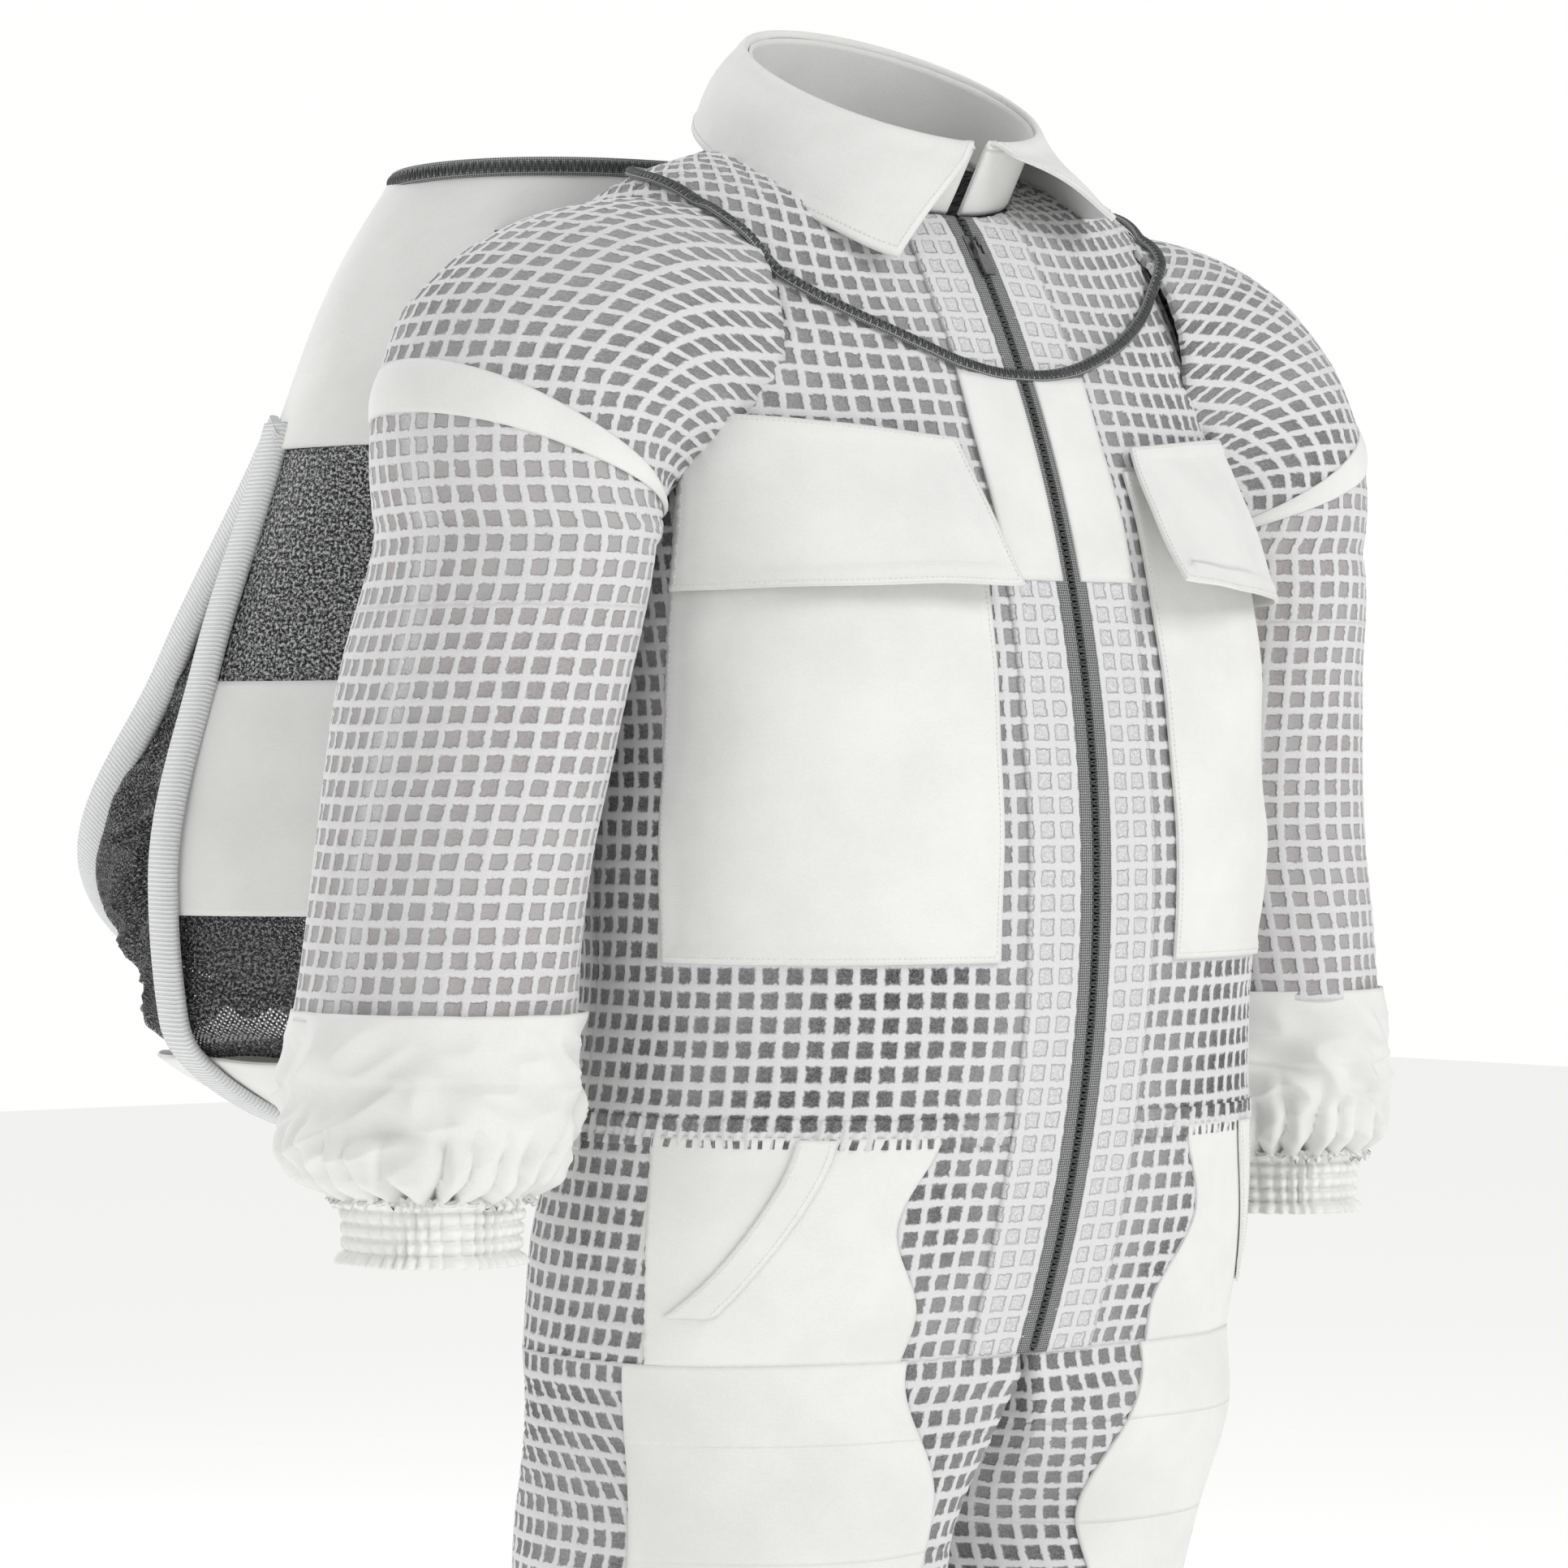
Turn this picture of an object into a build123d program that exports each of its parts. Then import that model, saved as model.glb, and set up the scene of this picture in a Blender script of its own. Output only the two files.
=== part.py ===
from build123d import *
import math
import os

# Ventilated beekeeping coverall with a fencing-style hood thrown back, drawn as worn.
# Millimetres. The origin is the centre of the neck opening, +Z is up, -Y is the wearer's front and -X
# the wearer's right. Cloth is drawn as closed shells of its own thickness, split along the sewn seams.

# ---------------------------------------------------------------- driving dimensions
MESH = 4.0            # three-layer ventilated mesh, quilted thickness
COTTON = 3.0          # cotton panel with its turned seam allowance
PATCH = 2.5           # patch pockets and flaps, two layers of cotton
CLOTH = 2.0           # collar, two layers pressed flat
HOOD_CLOTH = 2.5
FIT_GAP = 1.0         # free play between bodies that move on each other

ZIP_RADIUS = 750.0    # the front fastening follows this arc over chest and belly
ZIP_CENTRE_Y = 532.0
ZIP_CENTRE_Z = -470.0
ZIP_TOP_Z = -46.0
CROTCH_Z = -770.0
TAPE_HALF = 15.0      # both zip tapes together
TEETH_HALF = 3.2
TEETH_GAP = 0.9
PLACKET_HALF = 46.0   # cotton facing beside the zip
SLIDER_HALF = 6.5
SLIDER_PLATE = (2.4, 4.2)
SLIDER_Z = (-72.0, -56.0)
PULL_HINGE_OUT = 7.0
PULL_LENGTH = 26.0

NECK_SLOPE = 0.5      # the neck seam rises by this much per unit towards the back
SIDE_Y = -5.0         # side seams lie on this plane
WAIST_Z = -627.0
WAIST_BAND = (-642.0, -612.0)
HIP_FRONT_Y = -70.0   # cotton hip panel in front of this, mesh behind it
SEAT_Y = 75.0
FLY_HALF = 105.0      # mesh between the zip facing and the cotton hip panel

POCKET_X = (70.0, 240.0)
POCKET_Z = (-520.0, -215.0)
FLAP_X = (73.0, 240.0)
FLAP_Z = (-290.0, -199.0)
FLAP_BACK_Y = -111.0
FLAP_GAP = 3.5          # room between a pocket and its flap, which the flap's upper edge needs as it lifts

RING_ZIP_HALF = 192.0
RING_ZIP_FRONT = -146.0
RING_ZIP_BACK = 106.0
RING_ZIP_R = 3.5
RING_ZIP_RIDE = 2.0     # height of its stitched fold over the mesh
RING_ZIP_POINTS = 16

SHOULDER_Y, SHOULDER_Z = -15.0, -148.0
SHOULDER_REACH = 118.0     # cloth inside this radius of the shoulder axis stays with the body
ARMHOLE_R, ARMHOLE_X = 102.0, 190.0
DOME_X = 268.0
DOME_HALF = (98.0, 104.0)
UPPER_SLEEVE_END_Z = -300.0
FOREARM_TOP_Z = -552.0
CUFF_Z = (-702.0, -664.0)
CUFF_CENTRE = (-356.0, -4.0)
CUFF_HALF = (52.0, 58.0)

HIP_SECTION_Z = (-820.0, -770.0)
THIGH_Z = (-890.0, -820.0)
KNEE_Z = (-1130.0, -890.0)
SHIN_Z = (-1368.0, -1130.0)
ANKLE_Z = (-1405.0, -1368.0)

# height, half width, back, widest line's y, squareness of the body's level sections, from the neck down
BODY = (
    (60, 80, 62, 5, 2.0),
    (5, 108, 92, 10, 2.0),
    (-12, 168, 104, 10, 2.2),
    (-40, 218, 116, 8, 2.5),
    (-130, 226, 125, 2, 2.9),
    (-240, 224, 126, -10, 3.2),
    (-340, 227, 122, -25, 3.0),
    (-437, 236, 115, -45, 2.6),
    (-543, 230, 118, -45, 2.4),
    (-627, 240, 135, -30, 2.4),
    (-700, 248, 152, -22, 2.5),
    (-770, 250, 155, -20, 2.6),
)

# height, centre x, centre y, half width, half depth of the right sleeve as it hangs; the left is mirrored
SLEEVE = (
    (-148, -268, -15, 98, 104), (-200, -286, -15, 86, 105), (-262, -306, -16, 72, 106), (-340, -314, -4, 77, 105),
    (-470, -329, 8, 81, 100), (-552, -341, 9, 84, 98), (-618, -350, 6, 89, 103),
    (-650, -355, 0, 76, 86), (-664, -356, -4, 55, 61),
)

# height, centre x, centre y, half width, half depth; the left leg stands a little further back
LEG = {
    "right": (
        (-770, -127, -20, 122, 152), (-870, -135, -20, 131, 150), (-930, -137, -20, 130, 146),
        (-1010, -138, -22, 122, 132), (-1200, -142, -15, 108, 115), (-1330, -145, -5, 92, 98),
        (-1368, -146, -2, 64, 68),
    ),
    "left": (
        (-770, 127, -12, 122, 150), (-870, 131, 30, 126, 145), (-930, 132, 44, 125, 140),
        (-1010, 133, 48, 118, 128), (-1200, 138, 38, 106, 113), (-1330, 142, 22, 92, 98),
        (-1368, 143, 20, 64, 68),
    ),
}

# height, centre x, centre y, half width, half depth of the hood as it hangs down the back
HOOD = (
    (8, 0, 245, 198, 103), (-70, 0, 280, 225, 140), (-180, 0, 310, 250, 170),
    (-330, -15, 350, 283, 205), (-473, -25, 388, 312, 243), (-570, -25, 370, 300, 225),
    (-630, -18, 322, 235, 175), (-662, -10, 290, 130, 100),
)
HOOD_EDGE_Z = -4.0
HOOD_SKIRT_Z = -180.0
HOOD_WINDOW_Z = -341.0
HOOD_BAND_Z = -496.0
HOOD_CROWN_Z = -598.0
HOOP_PIVOT_Y, HOOP_PIVOT_Z = 345.0, -165.0
HOOP_LEAN = 32.0      # degrees from the inner hoop to the outer one
HOOP_HALF = 14.0
NAPE_HALF = 70.0      # length of ring zip that stays closed, each side of the nape

SIDES = {"right": -1, "left": 1}
BIG = 700.0


# ---------------------------------------------------------------- shared shapes
def front_y(z):
    """The body's front profile: the zip's arc, easing back to the neck above it."""
    if z <= ZIP_TOP_Z:
        return ZIP_CENTRE_Y - math.sqrt(ZIP_RADIUS**2 - (z - ZIP_CENTRE_Z) ** 2)
    return front_y(ZIP_TOP_Z) + (z - ZIP_TOP_Z) * 0.45


def zip_point(z, out=0.0):
    """Y and z at height z on the zip's arc, pushed out from the body by out."""
    rise = math.asin((z - ZIP_CENTRE_Z) / ZIP_RADIUS)
    reach = ZIP_RADIUS + out
    return ZIP_CENTRE_Y - reach * math.cos(rise), ZIP_CENTRE_Z + reach * math.sin(rise)


def body_section(station, grow=0.0):
    """One level section of the body: a squared ellipse with its own front and back depth."""
    z, half, back, mid, square = station
    points = []
    for k in range(28):
        turn = 2 * math.pi * k / 28
        side, ahead = math.sin(turn), math.cos(turn)
        depth = (mid - front_y(z) if ahead > 0 else back - mid) + grow
        x = math.copysign(abs(side) ** (2 / square), side) * (half + grow)
        points.append((x, mid - math.copysign(abs(ahead) ** (2 / square), ahead) * depth, z))
    return make_face(Spline(*points, periodic=True))


def body_solid(grow=0.0):
    return loft([body_section(s, grow) for s in BODY], ruled=True)


def body_height(x, y):
    """Height of the upper surface of the body over a point in plan."""
    low, high = BODY[5][0], BODY[0][0]
    for _ in range(40):
        z = (low + high) / 2
        above = next(k for k in range(1, len(BODY)) if BODY[k][0] <= z)
        a, b = BODY[above - 1], BODY[above]
        part = (a[0] - z) / (a[0] - b[0])
        half, back, mid, square = (a[i] + (b[i] - a[i]) * part for i in range(1, 5))
        depth = mid - front_y(z) if y < mid else back - mid
        inside = (abs(x) / half) ** square + (abs(y - mid) / depth) ** square < 1
        low, high = (z, high) if inside else (low, z)
    return low


def on_body(x, y, out):
    """A point at a distance out along the normal from the upper surface of the body."""
    step = 0.5
    slope_x = (body_height(x + step, y) - body_height(x - step, y)) / (2 * step)
    slope_y = (body_height(x, y + step) - body_height(x, y - step)) / (2 * step)
    scale = out / math.sqrt(slope_x**2 + slope_y**2 + 1)
    return x - slope_x * scale, y - slope_y * scale, body_height(x, y) + scale


def sleeve_solid(side, grow=0.0):
    """Armhole tube and hanging sleeve with its rounded shoulder in one."""
    tube = drum(ARMHOLE_R + grow, SHOULDER_Y, SHOULDER_Z, tuple(sorted((side * ARMHOLE_X, side * DOME_X))))
    dome = []
    for turn in (75, 50, 25):
        share = math.cos(math.radians(turn))
        z = SHOULDER_Z + (ARMHOLE_R + 1 + grow) * math.sin(math.radians(turn))
        dome.append((z, side * DOME_X, SHOULDER_Y, DOME_HALF[0] * share, DOME_HALF[1] * share))
    hang = [(z, -side * x, y, across, fore) for z, x, y, across, fore in SLEEVE]
    return tube + upright_solid(dome + hang, grow)


def upright_solid(stations, grow=0.0):
    """A loft through level ellipses given as height, centre x, centre y, half width, half depth."""
    faces = [(Pos(x, y, z) * Ellipse(a + grow, b + grow)).face() for z, x, y, a, b in stations]
    return loft(faces, ruled=True)


def block(x=(-BIG, BIG), y=(-BIG, BIG), z=(-1500, 200)):
    """A box between two values on each axis."""
    size = [hi - lo for lo, hi in (x, y, z)]
    centre = [(hi + lo) / 2 for lo, hi in (x, y, z)]
    return Pos(*centre) * Box(*size)


def side_block(side, x, y=(-BIG, BIG), z=(-1500, 200)):
    """The same, with x measured outward on one side of the body."""
    return block(tuple(sorted((side * x[0], side * x[1]))), y, z)


def drum(radius, y, z, x=(-BIG, BIG)):
    """A cylinder lying across the body."""
    return Pos((x[0] + x[1]) / 2, y, z) * Rot(0, 90, 0) * Cylinder(radius, x[1] - x[0])


def zip_band(out, x, z):
    """A strip of the front zip between two offsets, two x values and two heights on its arc."""
    ring = drum(ZIP_RADIUS + out[1], ZIP_CENTRE_Y, ZIP_CENTRE_Z, x)
    ring -= drum(ZIP_RADIUS + out[0], ZIP_CENTRE_Y, ZIP_CENTRE_Z, (x[0] - 1, x[1] + 1))
    return ring & block((x[0] - 1, x[1] + 1), (-400, 200), z)


def slanted_ellipse(y, z, slope, half_x, half_y):
    """An ellipse round the neck on a plane that rises to the back; half_y is measured in plan."""
    length = math.hypot(1, slope)
    plane = Plane(origin=(0, y, z), x_dir=(1, 0, 0), z_dir=(0, -slope / length, 1 / length))
    return (plane * Ellipse(half_x, half_y * length)).face()


def above_plane(y, z, slope):
    """Everything over a plane that rises towards the back."""
    return Pos(0, y, z) * Rot(math.degrees(math.atan(slope)), 0, 0) * Pos(0, 0, 300) * Box(1200, 1200, 600)


def save(name, *shapes):
    """Writes one node with all its closed solids."""
    solids = [s for shape in shapes for s in shape.solids() if s.volume > 20]
    if not solids:
        raise ValueError(f"{name} has no solid")
    export_step(Compound(children=solids) if len(solids) > 1 else solids[0], f"parts/{name}.step")
    print(f"{name}: {len(solids)} solid(s), {sum(s.volume for s in solids):.0f} mm3")


# ---------------------------------------------------------------- coverall body
def body_nodes():
    """Chest, back, trouser top and everything sewn flat on them."""
    whole = body_solid()
    lining = body_solid(-MESH)
    neck_cut = above_plane(0, 0, NECK_SLOPE)
    shell = whole - lining - neck_cut
    for side in SIDES.values():
        shell -= sleeve_solid(side, -MESH)
    chest = shell & block(z=(WAIST_Z, 200))
    trunk = (shell & block(z=(CROTCH_Z, WAIST_Z))) - block(y=(SIDE_Y, BIG), z=(WAIST_BAND[0], 0))
    for name, side in SIDES.items():
        save(f"front_panel_{name}", chest & side_block(side, (PLACKET_HALF, BIG), (-BIG, SIDE_Y)))
        save(f"fly_panel_{name}", trunk & side_block(side, (PLACKET_HALF, FLY_HALF), (-BIG, HIP_FRONT_Y)))
        save(f"hip_panel_{name}", trunk & side_block(side, (FLY_HALF, BIG), (-BIG, HIP_FRONT_Y)))
        save(f"side_panel_{name}", trunk & side_block(side, (FLY_HALF, BIG), (HIP_FRONT_Y, SEAT_Y)))
        inner, outer = sorted((side * TAPE_HALF, side * PLACKET_HALF))
        placket = zip_band((-MESH, 0), (inner, outer), (CROTCH_Z, 0)) - neck_cut
        save(f"zip_facing_{name}", placket)
        inner, outer = sorted((side * TEETH_HALF, side * TAPE_HALF))
        save(f"zip_tape_{name}", zip_band((-1, 1), (inner, outer), (CROTCH_Z, 0)) - neck_cut)
    save("back_panel", chest & block(y=(SIDE_Y, BIG), z=(WAIST_BAND[1], 200)))
    elastic = body_solid(1.5) - body_solid(-MESH - 1.5)
    save("waist_elastic", elastic & block(y=(SIDE_Y, BIG), z=WAIST_BAND))
    save("seat_panel", trunk & block(y=(SEAT_Y, BIG)))
    floor = body_section(BODY[-1], -MESH - FIT_GAP)
    gusset = extrude(floor, COTTON) & block((-60, 60))
    for name in SIDES:
        gusset -= upright_solid(LEG[name]).moved(Location((0, 0, 40)))
    save("crotch_gusset", gusset & block(z=(CROTCH_Z, CROTCH_Z + COTTON)))
    pocket_nodes(whole)
    return whole


def pocket_nodes(whole):
    """Chest pockets, their flaps and the trouser pocket facings, laid on the outside of the body."""
    patch = body_solid(PATCH) - whole
    flap = body_solid(2 * PATCH + FLAP_GAP) - body_solid(PATCH + FLAP_GAP)
    for name, side in SIDES.items():
        save(f"chest_pocket_{name}", patch & side_block(side, POCKET_X, (-BIG, FLAP_BACK_Y), POCKET_Z))
        save(f"chest_flap_{name}", flap & side_block(side, FLAP_X, (-BIG, FLAP_BACK_Y), FLAP_Z))
        strip = Pos(0, -115, -690) * Rot(-58, 0, 0) * Box(2 * BIG, 170, 22)
        facing = patch & strip & side_block(side, (FLY_HALF, BIG), (-BIG, HIP_FRONT_Y), (CROTCH_Z, WAIST_Z))
        save(f"pocket_facing_{name}", facing)


def front_zip_nodes():
    """Two tooth rows, the slider that runs on them and its pull."""
    rows = zip_band((-2, 2), (TEETH_GAP, TEETH_HALF), (CROTCH_Z, ZIP_TOP_Z))
    rows += zip_band((-2, 2), (-TEETH_HALF, -TEETH_GAP), (CROTCH_Z, ZIP_TOP_Z))
    save("front_zip_teeth", rows)

    plate_in, plate_out = SLIDER_PLATE
    across = (-SLIDER_HALF, SLIDER_HALF)
    slider = zip_band((plate_in, plate_out), across, SLIDER_Z)
    slider += zip_band((-plate_out, -plate_in), across, SLIDER_Z)
    slider += zip_band((-plate_out, plate_out), (-TEETH_GAP / 2, TEETH_GAP / 2), SLIDER_Z)
    hinge_y, hinge_z = zip_point(sum(SLIDER_Z) / 2, PULL_HINGE_OUT)
    lean = math.degrees(math.asin((hinge_z - ZIP_CENTRE_Z) / (ZIP_RADIUS + PULL_HINGE_OUT)))
    along = Pos(0, hinge_y, hinge_z) * Rot(-lean, 0, 0)
    lug = along * Pos(0, 1.2, 0) * Box(2.0, 6.4, 7.0)
    slider += lug
    slider -= drum(1.3, hinge_y, hinge_z, (-3, 3))
    save("front_zip_slider", slider)

    pull = drum(1.0, hinge_y, hinge_z, (-3.4, 3.4))
    for side in SIDES.values():
        pull += along * Pos(side * 2.6, 0, -5) * Box(1.6, 2.0, 12)
    pull += along * Pos(0, 0, -PULL_LENGTH / 2 - 5) * Box(8, 1.8, PULL_LENGTH - 10)
    save("front_zip_pull", pull)


# ---------------------------------------------------------------- neck
def neck_nodes(whole):
    """Collar, the ring zip that the hood fastens to, and the tabs beside it."""
    def stand(grow):
        seam = slanted_ellipse(4, 2, NECK_SLOPE, 96 + grow, 84 + grow)
        return loft([seam, slanted_ellipse(-18, 44, NECK_SLOPE, 97 + grow, 90 + grow)])

    def leaf(grow):
        fold = slanted_ellipse(-18, 44, NECK_SLOPE, 102 + grow, 96 + grow)
        return loft([fold, slanted_ellipse(-12, -14, NECK_SLOPE, 128 + grow, 122 + grow)])

    save("collar_stand", stand(0) - stand(-CLOTH) - block((-9, 9), (-300, -20)))
    notch = make_face(Polyline((-10, 60), (10, 60), (10, -5), (80, -90), (-80, -90), (-10, -5), close=True))
    save("collar_leaf", leaf(0) - leaf(-CLOTH) - extrude(Plane.XZ.offset(20) * notch, 300) - whole)

    centre = (RING_ZIP_BACK + RING_ZIP_FRONT) / 2
    depth = (RING_ZIP_BACK - RING_ZIP_FRONT) / 2
    route = []
    for k in range(RING_ZIP_POINTS + 1):
        turn = math.pi * k / RING_ZIP_POINTS
        route.append(on_body(RING_ZIP_HALF * math.sin(turn), centre - depth * math.cos(turn), RING_ZIP_R + RING_ZIP_RIDE))
    path = Spline(*route, tangents=[(1, 0, 0), (-1, 0, 0)])
    half = sweep(Plane(origin=path @ 0, z_dir=path % 0) * Circle(RING_ZIP_R), path=path)
    ends = block((-11, 11), (-BIG, 0))
    save("ring_zip", *(part - ends for part in (half, mirror(half, Plane.YZ))))
    save("ring_zip_front_ends", *(part & ends for part in (half, mirror(half, Plane.YZ))))


# ---------------------------------------------------------------- sleeves and legs
def sleeve_nodes(whole):
    for name, side in SIDES.items():
        mesh = sleeve_solid(side) - sleeve_solid(side, -MESH) - whole
        head_zone = drum(SHOULDER_REACH, SHOULDER_Y, SHOULDER_Z)
        upper_zone = block(z=(UPPER_SLEEVE_END_Z, 0)) - head_zone
        save(f"sleeve_head_{name}", mesh & head_zone)
        save(f"upper_sleeve_{name}", mesh & upper_zone)
        save(f"elbow_section_{name}", mesh & block(z=(FOREARM_TOP_Z, UPPER_SLEEVE_END_Z)))
        cotton = sleeve_solid(side) - sleeve_solid(side, -COTTON)
        save(f"forearm_{name}", cotton & block(z=(CUFF_Z[1], FOREARM_TOP_Z)))
        centre = (-side * CUFF_CENTRE[0], CUFF_CENTRE[1])
        stations = [(z, centre[0], centre[1], *CUFF_HALF) for z in CUFF_Z]
        save(f"wrist_cuff_{name}", upright_solid(stations) - upright_solid(stations, -6))


def leg_nodes():
    for name in SIDES:
        tube = upright_solid(LEG[name]) - upright_solid(LEG[name], -MESH)
        zones = {"hip_section": HIP_SECTION_Z, "thigh": THIGH_Z, "knee_section": KNEE_Z, "shin": SHIN_Z}
        for part, zone in zones.items():
            save(f"{part}_{name}", tube & block(z=zone))
        _, x, y, half_x, half_y = LEG[name][-1]
        stations = [(z, x, y, half_x, half_y) for z in ANKLE_Z]
        save(f"ankle_cuff_{name}", upright_solid(stations) - upright_solid(stations, -6))


# ---------------------------------------------------------------- hood
def hood_nodes(whole):
    """The hood hangs down the back, crown lowest, with its two hoops spread like a fan."""
    inner = [*HOOD[:-1], (HOOD[-1][0] + HOOD_CLOTH, *HOOD[-1][1:])]
    shell = upright_solid(HOOD) - upright_solid(inner, -HOOD_CLOTH)
    pivot = Pos(0, HOOP_PIVOT_Y, HOOP_PIVOT_Z)
    leaning = pivot * Rot(HOOP_LEAN, 0, 0)
    inner_slab = pivot * Pos(0, 0, -400) * Box(2 * BIG, 2 * HOOP_HALF, 800)
    outer_slab = leaning * Pos(0, 0, -400) * Box(2 * BIG, 2 * HOOP_HALF, 800)
    before_outer = leaning * Pos(0, -BIG - HOOP_HALF, -300) * Box(2 * BIG, 2 * BIG, 3000)
    beyond_outer = leaning * Pos(0, BIG + HOOP_HALF, -300) * Box(2 * BIG, 2 * BIG, 3000)
    behind_inner = block(y=(HOOP_PIVOT_Y + HOOP_HALF, 2 * BIG))
    before_inner = block(y=(-BIG, HOOP_PIVOT_Y - HOOP_HALF))

    save("hood_zip_edge", shell & block(z=(HOOD_EDGE_Z, 100)))
    save("hood_skirt", shell & block(z=(HOOD_SKIRT_Z, HOOD_EDGE_Z)))
    lower = shell & block(z=(-700, HOOD_SKIRT_Z))
    save("hood_hoop_inner", lower & inner_slab)
    save("hood_hoop_outer", (lower & outer_slab) - inner_slab)
    save("hood_crown", (lower & block(z=(-700, HOOD_CROWN_Z))) - inner_slab - outer_slab)
    sides = shell & block(z=(HOOD_CROWN_Z, HOOD_SKIRT_Z))
    rear = sides & before_inner
    save("hood_rear_band", rear & block(z=(HOOD_BAND_Z, HOOD_WINDOW_Z)))
    save("hood_rear_mesh", rear - block(z=(HOOD_BAND_Z, HOOD_WINDOW_Z)))
    save("hood_top_mesh", sides & behind_inner & before_outer)
    save("hood_face_veil", sides & behind_inner & beyond_outer)

    wall = upright_solid(HOOD, FIT_GAP)
    join = block((-NAPE_HALF, NAPE_HALF), (60, 220), (-52, -34)) - whole - wall
    save("nape_zip_join", join & block(y=(100, 200)))
    tab = block((-172, -148), (60, 260), (-46, -40)) - whole - wall
    save("touch_tape_tab", tab & block(y=(60, 260)))


os.makedirs("parts", exist_ok=True)
body = body_nodes()
front_zip_nodes()
neck_nodes(body)
sleeve_nodes(body)
leg_nodes()
hood_nodes(body)
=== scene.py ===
import math
import bmesh
import bpy
import numpy as np
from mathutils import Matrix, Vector, noise
from mathutils.bvhtree import BVHTree


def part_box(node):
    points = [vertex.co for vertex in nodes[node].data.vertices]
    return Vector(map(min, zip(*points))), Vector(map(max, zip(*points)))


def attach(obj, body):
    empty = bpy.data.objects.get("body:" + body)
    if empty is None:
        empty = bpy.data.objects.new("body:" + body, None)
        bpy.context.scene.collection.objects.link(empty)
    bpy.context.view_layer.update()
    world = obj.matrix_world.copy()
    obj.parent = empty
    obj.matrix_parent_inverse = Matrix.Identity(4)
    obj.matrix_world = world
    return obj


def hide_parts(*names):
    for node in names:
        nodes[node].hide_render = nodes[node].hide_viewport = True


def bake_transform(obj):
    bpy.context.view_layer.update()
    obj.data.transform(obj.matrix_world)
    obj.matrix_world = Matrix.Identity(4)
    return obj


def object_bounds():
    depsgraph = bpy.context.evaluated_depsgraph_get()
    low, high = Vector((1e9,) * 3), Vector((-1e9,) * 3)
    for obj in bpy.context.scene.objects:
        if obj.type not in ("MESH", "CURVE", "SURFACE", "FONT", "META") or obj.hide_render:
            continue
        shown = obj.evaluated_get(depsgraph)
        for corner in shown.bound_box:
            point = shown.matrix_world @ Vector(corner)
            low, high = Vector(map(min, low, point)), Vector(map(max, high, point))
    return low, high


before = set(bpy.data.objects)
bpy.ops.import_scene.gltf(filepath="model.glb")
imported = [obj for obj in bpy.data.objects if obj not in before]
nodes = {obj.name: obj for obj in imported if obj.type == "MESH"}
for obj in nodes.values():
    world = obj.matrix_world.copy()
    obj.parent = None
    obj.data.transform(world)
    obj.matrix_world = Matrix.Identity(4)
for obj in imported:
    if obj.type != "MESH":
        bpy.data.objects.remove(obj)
cad_low, cad_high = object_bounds()
SIDES = {"right": -1, "left": 1}
NET_PITCH = 0.0152       # one square of the ventilated mesh
MESH_THICK, COTTON_THICK, PATCH_THICK = 0.004, 0.0022, 0.0022
ARC_CENTRE = (0.532, -0.470)     # the front zip's arc: y and z of its centre, and its radius
ARC_RADIUS = 0.750
CROTCH_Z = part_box("seat_panel")[0].z
WAIST_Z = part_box("front_panel_right")[0].z


# ---------------------------------------------------------------- camera, light, floor
def set_stage():
    camera_data = bpy.data.cameras.new("camera")
    camera_data.lens, camera_data.sensor_width = 126.6, 36
    camera = bpy.data.objects.new("camera", camera_data)
    bpy.context.collection.objects.link(camera)
    camera.location = (-2.283, -2.825, -0.409)
    aim = Vector((-0.0664, 0.0119, -0.409))
    camera.rotation_euler = (aim - camera.location).to_track_quat("-Z", "Y").to_euler()
    bpy.context.scene.camera = camera
    world = bpy.data.worlds.new("studio")
    world.use_nodes = True
    sky = world.node_tree.nodes["Background"]
    sky.inputs["Color"].default_value = (1.0, 1.0, 0.995, 1)
    seen = world.node_tree.nodes.new("ShaderNodeLightPath")
    power = world.node_tree.nodes.new("ShaderNodeMapRange")     # the backdrop is white, the light it gives is softer
    power.inputs["To Min"].default_value, power.inputs["To Max"].default_value = 0.56, 1.0
    world.node_tree.links.new(seen.outputs["Is Camera Ray"], power.inputs["Value"])
    world.node_tree.links.new(power.outputs["Result"], sky.inputs["Strength"])
    bpy.context.scene.world = world
    bpy.context.scene.view_settings.view_transform = "Standard"
    for name, place, size, power in (
        ("key", (0.9, -3.4, 1.9), 1.6, 62), ("fill", (-3.2, -1.6, 0.3), 2.6, 12),
        ("rim", (-0.8, 2.8, 1.6), 2.0, 50),
    ):
        data = bpy.data.lights.new(name, "AREA")
        data.energy, data.size = power, size
        light = bpy.data.objects.new(name, data)
        light.location = place
        light.rotation_euler = (Vector((0, 0, -0.5)) - Vector(place)).to_track_quat("-Z", "Y").to_euler()
        bpy.context.collection.objects.link(light)
    mesh = bpy.data.meshes.new("floor")
    reach, z = 12.0, cad_low.z - 0.01
    mesh.from_pydata([(-reach, -reach, z), (reach, -reach, z), (reach, reach, z), (-reach, reach, z)], [],
                     [(0, 1, 2, 3)])
    floor = bpy.data.objects.new("floor", mesh)
    bpy.context.collection.objects.link(floor)
    paint = Paint("floor_paint", rough=0.8)
    paint.finish((0.93, 0.93, 0.92, 1))
    paint.shader.inputs["Emission Color"].default_value = (1, 1, 0.995, 1)
    paint.shader.inputs["Emission Strength"].default_value = 0.36
    mesh.materials.append(paint.material)


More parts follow.
